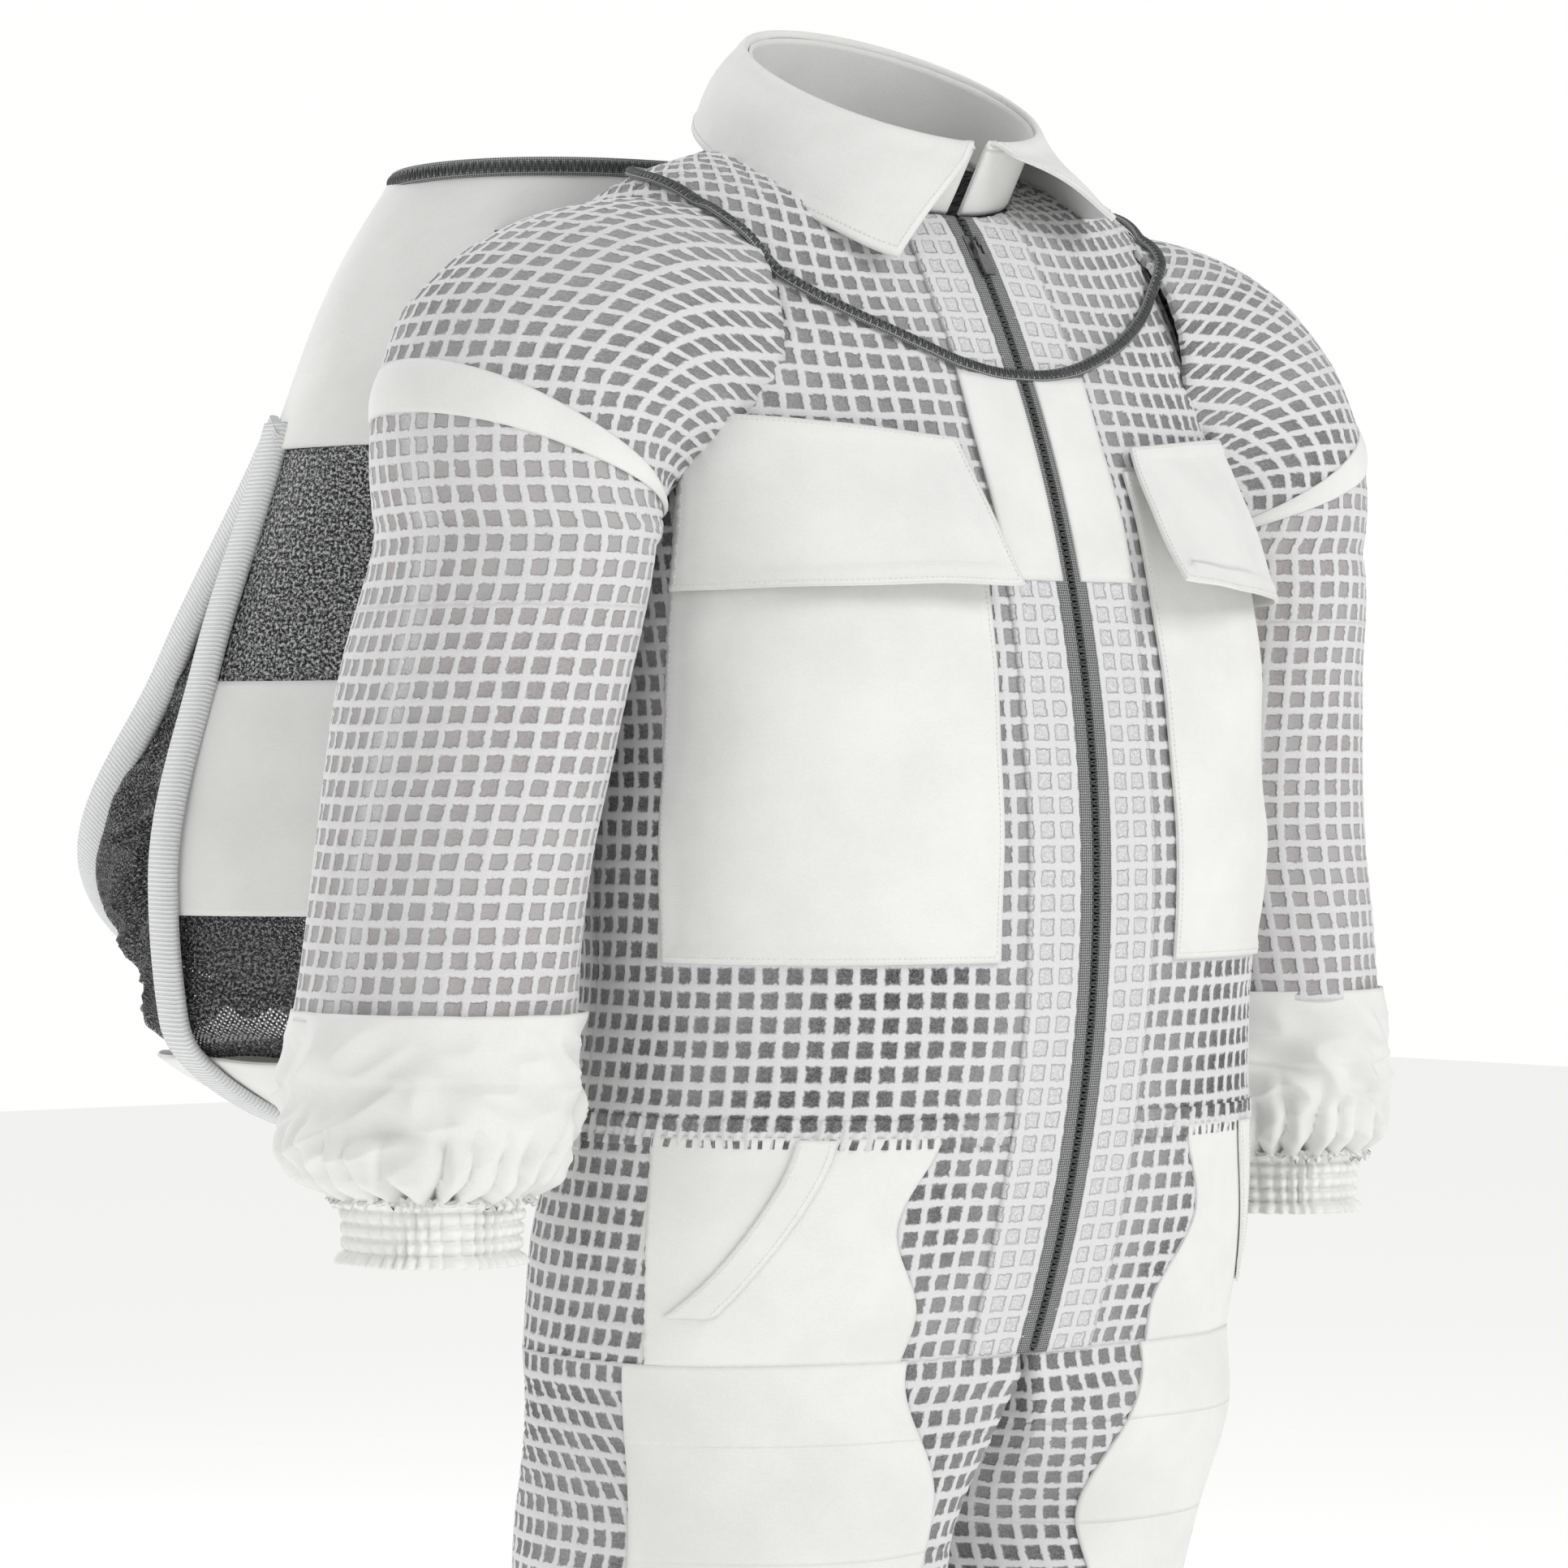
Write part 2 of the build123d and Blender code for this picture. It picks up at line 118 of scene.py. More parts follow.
# ---------------------------------------------------------------- materials
class Paint:
    """Short hand for building one node material."""

    def __init__(self, name, rough=0.85, sheen=0.0):
        self.material = bpy.data.materials.new(name)
        self.material.use_nodes = True
        self.tree = self.material.node_tree
        self.shader = self.tree.nodes["Principled BSDF"]
        self.shader.inputs["Roughness"].default_value = rough
        self.shader.inputs["Specular IOR Level"].default_value = 0.25
        self.shader.inputs["Sheen Weight"].default_value = sheen

    def node(self, kind, *inputs, **settings):
        made = self.tree.nodes.new("ShaderNode" + kind)
        for key, value in settings.items():
            setattr(made, key, value)
        for k, value in enumerate(inputs):
            if value is None:
                continue
            if isinstance(value, bpy.types.NodeSocket):
                self.tree.links.new(value, made.inputs[k])
            else:
                made.inputs[k].default_value = value
        return made

    def math(self, operation, *inputs):
        return self.node("Math", *inputs, operation=operation).outputs[0]

    def uv(self):
        return self.node("UVMap").outputs[0]

    def place(self):
        return self.node("TexCoord").outputs["Object"]

    def noise(self, where, scale, detail=2.0, rough=0.5):
        made = self.node("TexNoise", where)
        made.inputs["Scale"].default_value = scale
        made.inputs["Detail"].default_value = detail
        made.inputs["Roughness"].default_value = rough
        return made.outputs["Fac"]

    def ramp(self, value, low, high, to_low=0.0, to_high=1.0):
        made = self.node("MapRange", value, interpolation_type="SMOOTHSTEP")
        for k, amount in enumerate((low, high, to_low, to_high), 1):
            made.inputs[k].default_value = amount
        return made.outputs[0]

    def mix(self, share, first, second):
        made = self.node("Mix", data_type="RGBA")
        for key, value in ((0, share), (6, first), (7, second)):
            if isinstance(value, bpy.types.NodeSocket):
                self.tree.links.new(value, made.inputs[key])
            else:
                made.inputs[key].default_value = value
        return made.outputs[2]

    def cell(self, where, pitch, fuzz=0.0):
        """Distance from the nearest line of a square grid, 0 on a line and 0.5 mid-square, for each direction."""
        split = self.node("SeparateXYZ", where).outputs
        found = []
        for k in (0, 1):
            value = self.math("MULTIPLY", split[k], 1 / pitch)
            if fuzz:
                wobble = self.noise(where, 260 + 40 * k, 3.0)
                value = self.math("ADD", value,
                                  self.math("MULTIPLY", self.math("SUBTRACT", wobble, 0.5), fuzz))
            value = self.math("FRACT", value)
            found.append(self.math("SUBTRACT", 0.5, self.math("ABSOLUTE", self.math("SUBTRACT", value, 0.5))))
        return found

    def finish(self, colour, bump=None, depth=0.001, alpha=None, rough=None):
        for key, value in (("Base Color", colour), ("Alpha", alpha), ("Roughness", rough)):
            if isinstance(value, bpy.types.NodeSocket):
                self.tree.links.new(value, self.shader.inputs[key])
            elif value is not None:
                self.shader.inputs[key].default_value = value
        if bump is not None:
            made = self.node("Bump")
            made.inputs["Strength"].default_value = 1.0
            made.inputs["Distance"].default_value = depth
            self.tree.links.new(bump, made.inputs["Height"])
            self.tree.links.new(made.outputs[0], self.shader.inputs["Normal"])
        return self.material


def net_material(name, dark, light, veil=0.0):
    """White fuzzy net over speckled spacer squares; the squares' colours also carry painted shade and painted light
    from the garment's inside seen through the net, and a painted shade amount kept on the mesh fades the squares
    towards the net.
    """
    p = Paint(name, rough=0.95, sheen=0.25)
    uv = p.uv()
    across, along = p.cell(uv, NET_PITCH, fuzz=0.24)
    edge = p.math("MINIMUM", across, along)
    square = p.ramp(edge, 0.13, 0.24)
    grain = p.noise(uv, 1000, 2.0, 0.8)
    weave = p.noise(uv, 430, 3.0, 0.8)
    speck = p.ramp(p.math("ADD", p.math("MULTIPLY", grain, 0.5), p.math("MULTIPLY", weave, 0.5)), 0.42, 0.62)
    pad_and_shade = p.mix(speck, dark, light)
    rib = p.mix(p.noise(uv, 900, 2.0, 0.6), (0.56, 0.56, 0.57, 1), (0.86, 0.86, 0.86, 1))
    # painted shade amount kept on the mesh: 1 keeps the squares' shaded colour, lower fades them towards the net
    square_shade = p.node("Attribute", attribute_name="square_shade").outputs["Fac"]
    patchy = p.ramp(p.noise(uv, 9, 2.0), 0.3, 0.75, 0.72, 1.0)
    share = p.math("MULTIPLY", p.math("MULTIPLY", square, square_shade), patchy)
    colour = p.mix(share, rib, pad_and_shade)
    height = p.math("SUBTRACT", p.math("MULTIPLY", grain, 0.22), square)
    alpha = None
    if veil:
        alpha = p.math("SUBTRACT", 1.0, p.math("MULTIPLY", p.math("MULTIPLY", square, speck), veil))
    return p.finish(colour, height, 0.0016, alpha)


def cotton_material(name="cotton", base=(0.82, 0.82, 0.805, 1)):
    p = Paint(name, rough=0.9, sheen=0.15)
    uv = p.uv()
    across, along = p.cell(uv, 0.0009)
    weave = p.math("MULTIPLY", across, along)
    cloud = p.noise(uv, 14, 4.0, 0.6)
    slub = p.noise(uv, 700, 2.0, 0.6)
    shade = tuple(v * 0.93 for v in base[:3]) + (1,)
    colour = p.mix(p.ramp(p.math("ADD", p.math("MULTIPLY", cloud, 0.7), p.math("MULTIPLY", slub, 0.3)), 0.35,
                          0.65), shade, base)
    height = p.math("ADD", p.math("MULTIPLY", weave, 1.0), p.math("MULTIPLY", slub, 0.5))
    return p.finish(colour, height, 0.0003)


def veil_material(name, pitch, hole, fleck):
    """Black open net: holes between threads, with pale flecks where the threads catch the light."""
    p = Paint(name, rough=0.55)
    uv = p.uv()
    turned = p.node("VectorRotate", uv)
    turned.inputs["Angle"].default_value = 0.6
    across, along = p.cell(turned.outputs[0], pitch, fuzz=0.12)
    edge = p.math("MINIMUM", across, along)
    open_part = p.ramp(edge, 0.16, 0.24)
    glint = p.ramp(p.noise(uv, 420, 3.0, 0.8), 0.47, 0.60)
    thread = p.mix(p.math("MULTIPLY", glint, fleck), (0.012, 0.012, 0.013, 1), (0.55, 0.56, 0.56, 1))
    alpha = p.math("SUBTRACT", 1.0, p.math("MULTIPLY", open_part, hole))
    return p.finish(thread, p.math("SUBTRACT", 0.5, edge), 0.0008, alpha)


def ribbed_material(name, pitch, pale=(0.86, 0.87, 0.87, 1), groove_shade=(0.62, 0.63, 0.64, 1)):
    """Ribs across a tape, with fine fibres; the grooves between the ribs are painted darker as shade."""
    p = Paint(name, rough=0.8, sheen=0.2)
    uv = p.uv()
    _, along = p.cell(uv, pitch, fuzz=0.3)
    fibre = p.noise(uv, 1100, 2.0, 0.7)
    rise = p.ramp(along, 0.05, 0.4)
    # painted shade: the grooves take the darker colour and the rib tops the pale one
    colour = p.mix(p.math("ADD", p.math("MULTIPLY", rise, 0.75), p.math("MULTIPLY", fibre, 0.25)), groove_shade, pale)
    return p.finish(colour, p.math("ADD", rise, p.math("MULTIPLY", fibre, 0.3)), 0.0007)


def tape_material(name="zip_tape"):
    """Dark woven tape with a herringbone fleck."""
    p = Paint(name, rough=0.75)
    uv = p.uv()
    across, along = p.cell(uv, 0.0016, fuzz=0.35)
    fleck = p.noise(uv, 1300, 2.0, 0.8)
    share = p.ramp(p.math("ADD", p.math("MULTIPLY", p.math("ADD", across, along), 0.5),
                          p.math("MULTIPLY", fleck, 0.5)), 0.3, 0.72)
    return p.finish(p.mix(share, (0.035, 0.036, 0.038, 1), (0.42, 0.43, 0.43, 1)), fleck, 0.0005)


def solid_material(name, colour, rough, metal=0.0, scale=300, depth=0.0001):
    """Moulded or metal trim with a light grain and worn variation."""
    p = Paint(name, rough)
    p.shader.inputs["Metallic"].default_value = metal
    grain = p.noise(p.place(), scale, 3.0)
    wear = p.ramp(p.noise(p.place(), scale / 6, 2.0), 0.4, 0.7)
    bright = tuple(min(1.0, v * 1.5 + 0.02) for v in colour[:3]) + (1,)
    return p.finish(p.mix(p.math("MULTIPLY", wear, grain), colour, bright), grain, depth,
                    rough=p.ramp(grain, 0.2, 0.8, rough - 0.1, rough + 0.1))


# the body net's near-black squares are painted shade: the dark inside of the garment seen through the net, over the
# speckled spacer
NET = net_material("net_body", (0.018, 0.018, 0.02, 1), (0.20, 0.20, 0.21, 1))
# the sleeve net's paler pinkish squares are painted light, where the sleeves are lit from behind
NET_SLEEVE_BACKLIT = net_material("net_sleeve_backlit", (0.30, 0.28, 0.285, 1), (0.66, 0.62, 0.62, 1), veil=0.35)
NET_PALE = net_material("net_pale", (0.50, 0.50, 0.51, 1), (0.80, 0.80, 0.80, 1))
COTTON = cotton_material()
ELASTIC = cotton_material("elastic", (0.88, 0.88, 0.86, 1))
VEIL = veil_material("veil_open", 0.0030, 0.9, 0.45)
WINDOW = veil_material("veil_window", 0.0042, 0.25, 1.0)
HOOP = ribbed_material("hoop_rib", 0.0030)
TAPE = tape_material()
TEETH = solid_material("teeth", (0.06, 0.062, 0.064, 1), 0.4, 0.0, 900)
METAL = solid_material("nickel", (0.22, 0.22, 0.22, 1), 0.38, 0.9)
TOUCH = solid_material("touch_tape", (0.015, 0.015, 0.016, 1), 0.9, 0.0, 1400, 0.001)
THREAD = solid_material("thread", (0.80, 0.80, 0.78, 1), 0.8, 0.0, 900)


# ---------------------------------------------------------------- mesh helpers
def new_object(name, verts, faces, corner_uvs, material, square_shade=None):
    """A smooth mesh object; corner_uvs has one entry for each corner of each face, in face order."""
    name = f"{name}_cloth" if name in nodes else name
    mesh = bpy.data.meshes.new(name)
    mesh.from_pydata(np.asarray(verts).tolist(), [], np.asarray(faces).tolist())
    mesh.materials.append(material)
    layer = mesh.uv_layers.new(name="UVMap")
    layer.data.foreach_set("uv", np.asarray(corner_uvs, float).ravel())
    shades = mesh.attributes.new("square_shade", "FLOAT", "POINT")
    shades.data.foreach_set("value", np.ones(len(verts)) if square_shade is None else np.asarray(square_shade, float).ravel())
    mesh.polygons.foreach_set("use_smooth", np.ones(len(mesh.polygons), bool))
    made = bpy.data.objects.new(name, mesh)
    bpy.context.collection.objects.link(made)
    return made


def normals_of(grid, closed=False):
    """Unit normals of a (rows, columns, 3) grid, outward when columns run from the front to the wearer's right."""
    wide = np.concatenate([grid[:, -1:], grid, grid[:, :1]], 1) if closed else grid
    found = np.cross(np.gradient(wide, axis=1), np.gradient(wide, axis=0))
    found = found[:, 1:-1] if closed else found
    return found / np.maximum(np.linalg.norm(found, axis=2, keepdims=True), 1e-9)


def arc_uv(grid, closed=False):
    """Texture place in metres: distance along each row, and distance down the rows on average."""
    ring = np.concatenate([grid, grid[:, :1]], 1) if closed else grid
    along = np.linalg.norm(np.diff(ring, axis=1), axis=2)
    u = np.concatenate([np.zeros((len(ring), 1)), np.cumsum(along, 1)], 1)
    u = u - u[:, -1:] / 2
    down = np.linalg.norm(np.diff(ring, axis=0), axis=2).mean(1)
    v = np.concatenate([[0], np.cumsum(down)])
    return np.stack([u, np.repeat(v[:, None], u.shape[1], 1)], 2)


def column_uv(grid, anchor):
    """Like arc_uv on a closed tube, but with each column's own length, counted from the first or last row."""
    uv = arc_uv(grid, closed=True)
    ring = np.concatenate([grid, grid[:, :1]], 1)
    run = np.concatenate([np.zeros((1, ring.shape[1])),
                          np.cumsum(np.linalg.norm(np.diff(ring, axis=0), axis=2), 0)])
    uv[..., 1] = run - run[anchor]
    return uv


def quads(rows, cols, wrap, width):
    """Corner numbers of every quad of a grid whose rows are width apart; with wrap, the last column joins the first."""
    r, c = np.meshgrid(np.arange(rows - 1), np.arange(cols if wrap else cols - 1), indexing="ij")
    right = (c + 1) % width if wrap else c + 1
    return np.stack([r * width + c, r * width + right, (r + 1) * width + right, (r + 1) * width + c],
                    2).reshape(-1, 4)


def make_sheet(name, grid, material, thick, replaces=(), uv=None, closed=False, flip=False, lift=0.0,
               square_shade=None):
    """A sheet of cloth with thickness, its outer face on the grid."""
    rows, cols = grid.shape[:2]
    uv = arc_uv(grid, closed) if uv is None else uv
    n = normals_of(grid, closed) * (-1 if flip else 1)
    outer = grid + n * lift
    verts = np.concatenate([outer.reshape(-1, 3), (outer - n * thick).reshape(-1, 3)])
    size = rows * cols
    out = quads(rows, cols, closed, cols)
    out_uv = quads(rows, cols + 1 if closed else cols, False, uv.shape[1])
    if flip:
        out, out_uv = out[:, ::-1], out_uv[:, ::-1]
    faces, uv_at = [out, out[:, ::-1] + size], [out_uv, out_uv[:, ::-1]]
    if closed:
        around = np.arange(cols)
        starts = [np.stack([around[::-1], np.roll(around[::-1], -1)], 1),
                  np.stack([around, np.roll(around, -1)], 1) + (rows - 1) * cols]
    else:
        rim = np.concatenate([np.arange(rows) * cols, (rows - 1) * cols + np.arange(1, cols),
                              np.arange(rows - 2, -1, -1) * cols + cols - 1, np.arange(cols - 2, 0, -1)])
        starts = [np.stack([rim, np.roll(rim, -1)], 1)]
    for pair in starts:
        wall = np.stack([pair[:, 0], pair[:, 1], pair[:, 1] + size, pair[:, 0] + size], 1)
        where = pair % cols + pair // cols * uv.shape[1]
        wall_uv = np.stack([where[:, 0], where[:, 1], where[:, 1], where[:, 0]], 1)
        if flip:
            wall, wall_uv = wall[:, ::-1], wall_uv[:, ::-1]
        faces.append(wall)
        uv_at.append(wall_uv)
    shade = None if square_shade is None else np.concatenate([square_shade.ravel()] * 2)
    corner = uv.reshape(-1, 2)[np.concatenate(uv_at).ravel()]
    made = new_object(name, verts, np.concatenate(faces), corner, material, shade)
    rounded = np.ones(len(made.data.polygons), bool)
    rounded[2 * len(out):] = False
    made.data.polygons.foreach_set("use_smooth", rounded)
    if replaces:
        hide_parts(*replaces)
    area = float(np.linalg.norm(np.cross(outer.reshape(-1, 3)[out[:, 1]] - outer.reshape(-1, 3)[out[:, 0]],
                                         outer.reshape(-1, 3)[out[:, 3]] - outer.reshape(-1, 3)[out[:, 0]]),
                                         axis=1).sum())
    width, length = float(np.ptp(uv[..., 0])), float(np.ptp(uv[..., 1]))
    if area < 0.35 * width * length:      # a slanting strip, measured along itself
        length = float(np.linalg.norm(np.diff(grid[:, cols // 2], axis=0), axis=1).sum())
        width = area / length
    return made


def spline(at, knots, values):
    """Smooth curve through values at rising knots, flat where a run turns back."""
    knots, values = np.asarray(knots, float), np.asarray(values, float)
    slope = np.diff(values) / np.diff(knots)
    inner = np.where(slope[:-1] * slope[1:] > 0,
                     2 * slope[:-1] * slope[1:] / (slope[:-1] + slope[1:] + 1e-12), 0)
    tangent = np.concatenate([slope[:1], inner, slope[-1:]])
    at = np.clip(at, knots[0], knots[-1])
    k = np.clip(np.searchsorted(knots, at) - 1, 0, len(knots) - 2)
    gap = knots[k + 1] - knots[k]
    t = (at - knots[k]) / gap
    return ((2 * t**3 - 3 * t**2 + 1) * values[k] + (t**3 - 2 * t**2 + t) * gap * tangent[k]
            + (3 * t**2 - 2 * t**3) * values[k + 1] + (t**3 - t**2) * gap * tangent[k + 1])


def station(stations, z):
    """Values of a table of stations, highest first, at heights z."""
    table = np.array(stations, float)[::-1] / 1000
    return [spline(np.asarray(z, float), table[:, 0], table[:, k]) for k in range(1, table.shape[1])]


def smooth(grid, times, wrap=False):
    for _ in range(times):
        if wrap:
            grid = (np.roll(grid, 1, 1) + 2 * grid + np.roll(grid, -1, 1)) / 4
        grid[1:-1] = (grid[:-2] + 2 * grid[1:-1] + grid[2:]) / 4
    return grid


def fold(points, scale, seed, stretch=(1, 1, 1)):
    """Smooth noise from about -1 to 1 at each point, for folds and sag."""
    flat = np.asarray(points).reshape(-1, 3) * scale * np.array(stretch) + seed * 7.3
    return np.array([noise.noise(Vector(p)) for p in flat]).reshape(np.asarray(points).shape[:-1])


def step(value, low, high):
    t = np.clip((value - low) / (high - low), 0, 1)
    return t * t * (3 - 2 * t)


def quilt(uv):
    """Height of the net over its squares, 1 on a rib and 0 mid-square."""
    across = np.abs((uv / NET_PITCH + 0.5) % 1 - 0.5)
    return 1 - step(across.min(-1), 0.08, 0.26)


def push(grid, amount, closed=False, flip=False):
    return grid + normals_of(grid, closed) * (-1 if flip else 1) * amount[..., None]


def sweep(name, path, normals, profile, material, closed=False, replaces=()):
    """A band or cord along a path; profile is a ring of (sideways, outward) offsets."""
    path, normals = np.asarray(path), np.asarray(normals)
    run = np.roll(path, -1, 0) - np.roll(path, 1, 0) if closed else np.gradient(path, axis=0)
    run /= np.linalg.norm(run, axis=1, keepdims=True)
    normals = normals - (normals * run).sum(1, keepdims=True) * run
    normals /= np.linalg.norm(normals, axis=1, keepdims=True)
    aside = np.cross(run, normals)
    ring = np.asarray(profile)
    verts = path[:, None] + aside[:, None] * ring[None, :, :1] + normals[:, None] * ring[None, :, 1:]
    n, m = len(path), len(ring)
    length = np.concatenate([[0], np.cumsum(np.linalg.norm(np.diff(path, axis=0), axis=1))])
    girth = np.concatenate([[0],
                            np.cumsum(np.linalg.norm(np.diff(np.concatenate([ring, ring[:1]]), axis=0),
                                                     axis=1))])
    faces, uvs = [], []
    for r in range(n if closed else n - 1):
        for c in range(m):
            far, nxt = (r + 1) % n, (c + 1) % m
            faces.append((r * m + c, r * m + nxt, far * m + nxt, far * m + c))
            v0, v1 = length[r], length[r] + (length[far] - length[r] if far else np.linalg.norm(path[0] - path[r]))
            uvs += [(girth[c], v0), (girth[c + 1], v0), (girth[c + 1], v1), (girth[c], v1)]
    made = new_object(name, verts.reshape(-1, 3), faces, uvs, material)
    if not closed:
        cap_ends(made.data, n, m)
    if replaces:
        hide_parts(*replaces)
    return made


def cap_ends(mesh, n, m):
    work = bmesh.new()
    work.from_mesh(mesh)
    work.verts.ensure_lookup_table()
    work.faces.new([work.verts[k] for k in range(m)][::-1])
    work.faces.new([work.verts[(n - 1) * m + k] for k in range(m)])
    bmesh.ops.recalc_face_normals(work, faces=work.faces)
    work.to_mesh(mesh)
    work.free()


def round_profile(across, out, count=10):
    turns = np.linspace(0, 2 * np.pi, count, endpoint=False)
    return [(across * math.cos(t), out * math.sin(t)) for t in turns]


def band_profile(half, rise):
    """A flat band with rounded edges."""
    return [(-half, 0), (half, 0), (half, rise * 0.6), (half * 0.86, rise), (-half * 0.86, rise),
            (-half, rise * 0.6)]


def stitches(name, rows, material, body, pitch=0.0034, length=0.0022, radius=0.0004):
    """Rows of stitches; each row is a path of points with the surface's normals."""
    verts, faces = [], []
    for path, normals in rows:
        path, normals = np.asarray(path), np.asarray(normals)
        run = np.concatenate([[0], np.cumsum(np.linalg.norm(np.diff(path, axis=0), axis=1))])
        for at in np.arange(pitch / 2, run[-1], pitch):
            ends = [np.array([np.interp(at + d, run, path[:, k]) for k in range(3)]) for d in (-length / 2,
                                                                                               length / 2)]
            n = np.array([np.interp(at, run, normals[:, k]) for k in range(3)])
            way = ends[1] - ends[0]
            if np.linalg.norm(way) < 1e-6:
                continue
            way /= np.linalg.norm(way)
            side = np.cross(way, n)
            start = len(verts)
            for centre, fat in ((ends[0], 0.35), ((ends[0] + ends[1]) / 2, 1.0), (ends[1], 0.35)):
                verts += [centre + (side * a + n * b) * radius * fat for a,
                          b in ((-1, 0), (0, 1), (1, 0), (0, -1))]
            faces += [(start + 3, start + 2, start + 1, start), tuple(start + 8 + k for k in range(4))]
            for level in (0, 4):
                faces += [(start + level + k, start + level + (k + 1) % 4, start + level + 4 + (k + 1) % 4,
                           start + level + 4 + k)
                          for k in range(4)]
    mesh_faces = [list(f) for f in faces]
    corner = np.array([(v, 0) for f in mesh_faces for v in range(len(f))]) * 0.0005
    made = new_object(name, verts, mesh_faces, corner, material)
    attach(made, body)
    return made


# ---------------------------------------------------------------- the body's surface
class Skin:
    """The coverall's outer surface: columns run round the body from the zip, rows from the neck down."""

    COLS = 180
    CHEST_Z = -0.25

    def __init__(self):
        names = [n for n in nodes if n.startswith(("front_panel", "back_panel", "zip_facing", "zip_tape",
                                                   "fly_", "hip_panel"))]
        names += ["side_panel_right", "side_panel_left", "seat_panel", "waist_elastic", "front_zip_teeth"]
        verts, faces = [], []
        for name in names:
            mesh = nodes[name].data
            start = len(verts)
            verts += [v.co.copy() for v in mesh.vertices]
            faces += [tuple(start + k for k in p.vertices) for p in mesh.polygons]
        self.tree = BVHTree.FromPolygons(verts, faces)
        turns = np.linspace(0, 2 * np.pi, self.COLS, endpoint=False)
        top = [self.row_from_centre(turns, w) for w in np.linspace(1, 0, 36)]
        levels = [self.level_row(turns, z) for z in np.linspace(self.CHEST_Z, CROTCH_Z, 66)[1:]]
        grid = smooth(np.array(top + levels), 4, wrap=True)
        swell = fold(grid, 7.0, 1) * 0.005 + fold(grid, 16.0, 2, (1, 1, 0.5)) * 0.003
        sag = np.clip((grid[..., 2] + 0.05) / -0.1, 0, 1)
        self.grid = grid
        self.grid = push(grid, swell * sag * self.away_from_zip(grid), closed=True)
        self.normal = normals_of(self.grid, closed=True)
        ring = np.concatenate([self.grid, self.grid[:, :1]], 1)
        step = np.linalg.norm(np.diff(ring, axis=1), axis=2)
        self.round = np.concatenate([np.zeros((len(ring), 1)), np.cumsum(step, 1)], 1)
        self.ring = ring
        self.ring_n = np.concatenate([self.normal, self.normal[:, :1]], 1)
        rise = np.linalg.norm(np.diff(ring, axis=0), axis=2)
        run = np.concatenate([np.zeros((1, ring.shape[1])), np.cumsum(rise, 0)], 0)
        self.down = run - run[35]

    @staticmethod
    def away_from_zip(grid):
        return np.clip(np.where(grid[..., 1] < 0, (np.abs(grid[..., 0]) - 0.02) / 0.05, 1), 0, 1)

    def hit(self, start, way):
        found = self.tree.ray_cast(Vector(start + way * 1.2), Vector(-way))
        if found[0] is None or (np.array(found[0]) - start) @ way < 0.04:
            return None
        return np.array(found[0])

    @staticmethod
    def mend(points):
        """Fills the armholes, where no ray lands, in line with the cloth beside them."""
        good = [k for k, p in enumerate(points) if p is not None]
        full = [*good, good[0] + len(points)]
        out = []
        for k in range(len(points)):
            if points[k] is not None:
                out.append(points[k])
                continue
            after = next(g for g in full if g > k)
            before = max((g for g in good if g < k), default=good[-1] - len(points))
            share = (k - before) / (after - before)
            out.append(points[before % len(points)] * (1 - share) + points[after % len(points)] * share)
        return np.array(out)

    def row_from_centre(self, turns, w):
        """One row over the shoulders, as seen from the middle of the chest; w is 1 at the neck."""
        start = np.array((0, 0, self.CHEST_Z))
        points = []
        for turn in turns:
            level = np.array((-math.sin(turn), -math.cos(turn), 0))
            neck = np.array((-0.0955 * math.sin(turn), 0.004 - 0.0835 * math.cos(turn), 0))
            neck[2] = 0.5 * neck[1] - 0.001
            up = (neck - start) / np.linalg.norm(neck - start)
            angle = math.acos(level @ up)
            way = (level * math.sin(angle * (1 - w)) + up * math.sin(angle * w)) / math.sin(angle)
            points.append(neck if w == 1 else self.hit(start, way))
        return self.mend(points)

    def level_row(self, turns, z):
        start = np.array((0, -0.02, z))
        return self.mend([self.hit(start, np.array((-math.sin(t), -math.cos(t), 0))) for t in turns])

    def rows_at(self, z):
        """Row number, with a fraction, at which the front column is at height z."""
        return np.interp(-z, -self.ring[:, 0, 2], np.arange(len(self.ring)))

    def pick(self, table, rows, s):
        """Values of a table at rows and at distances round from the zip; positive s is the wearer's left."""
        rows, s = np.broadcast_arrays(np.asarray(rows, float), np.asarray(s, float))
        whole = np.clip(np.floor(rows), 0, len(self.ring) - 2).astype(int)
        found = 0
        for k, weight in ((whole, 1 - (rows - whole)), (whole + 1, rows - whole)):
            reach = np.where(s < 0, -s, self.round[k, -1] - s)
            place = np.empty(reach.shape)
            for level in np.unique(k):
                here = k == level
                place[here] = np.interp(reach[here], self.round[level], np.arange(self.round.shape[1]))
            c = np.clip(np.floor(place), 0, self.round.shape[1] - 2).astype(int)
            share = place - c
            if table.ndim == 3:
                share, weight = share[..., None], weight[..., None]
            found = found + weight * (table[k, c] * (1 - share) + table[k, c + 1] * share)
        return found

    def seam(self, rows, y, side):
        """Distance round to where the surface passes behind y on one side."""
        found = []
        for row in np.atleast_1d(rows):
            whole, half = int(round(min(row, len(self.ring) - 1))), self.COLS // 2
            ys = self.ring[whole, : half + 1, 1] if side < 0 else self.ring[whole, ::-1, 1][: half + 1]
            runs = self.round[whole,
                              : half + 1] if side < 0 else (self.round[whole, -1] - self.round[whole,
                                                                                               ::-1])[: half + 1]
            found.append(side * float(np.interp(y, np.maximum.accumulate(ys), runs)))
        return np.array(found)

    def at_x(self, rows, x):
        """Distance round to where the front of the surface is at x, one x for each row."""
        found = []
        for row, wanted in zip(np.atleast_1d(rows), np.broadcast_to(x, np.shape(np.atleast_1d(rows)))):
            whole, quarter = int(round(min(row, len(self.ring) - 1))), self.COLS // 4
            xs = np.abs(self.ring[whole, : quarter + 1, 0])
            found.append(math.copysign(float(np.interp(abs(wanted), np.maximum.accumulate(xs),
                                                       self.round[whole, : quarter + 1])), wanted))
        return np.array(found)

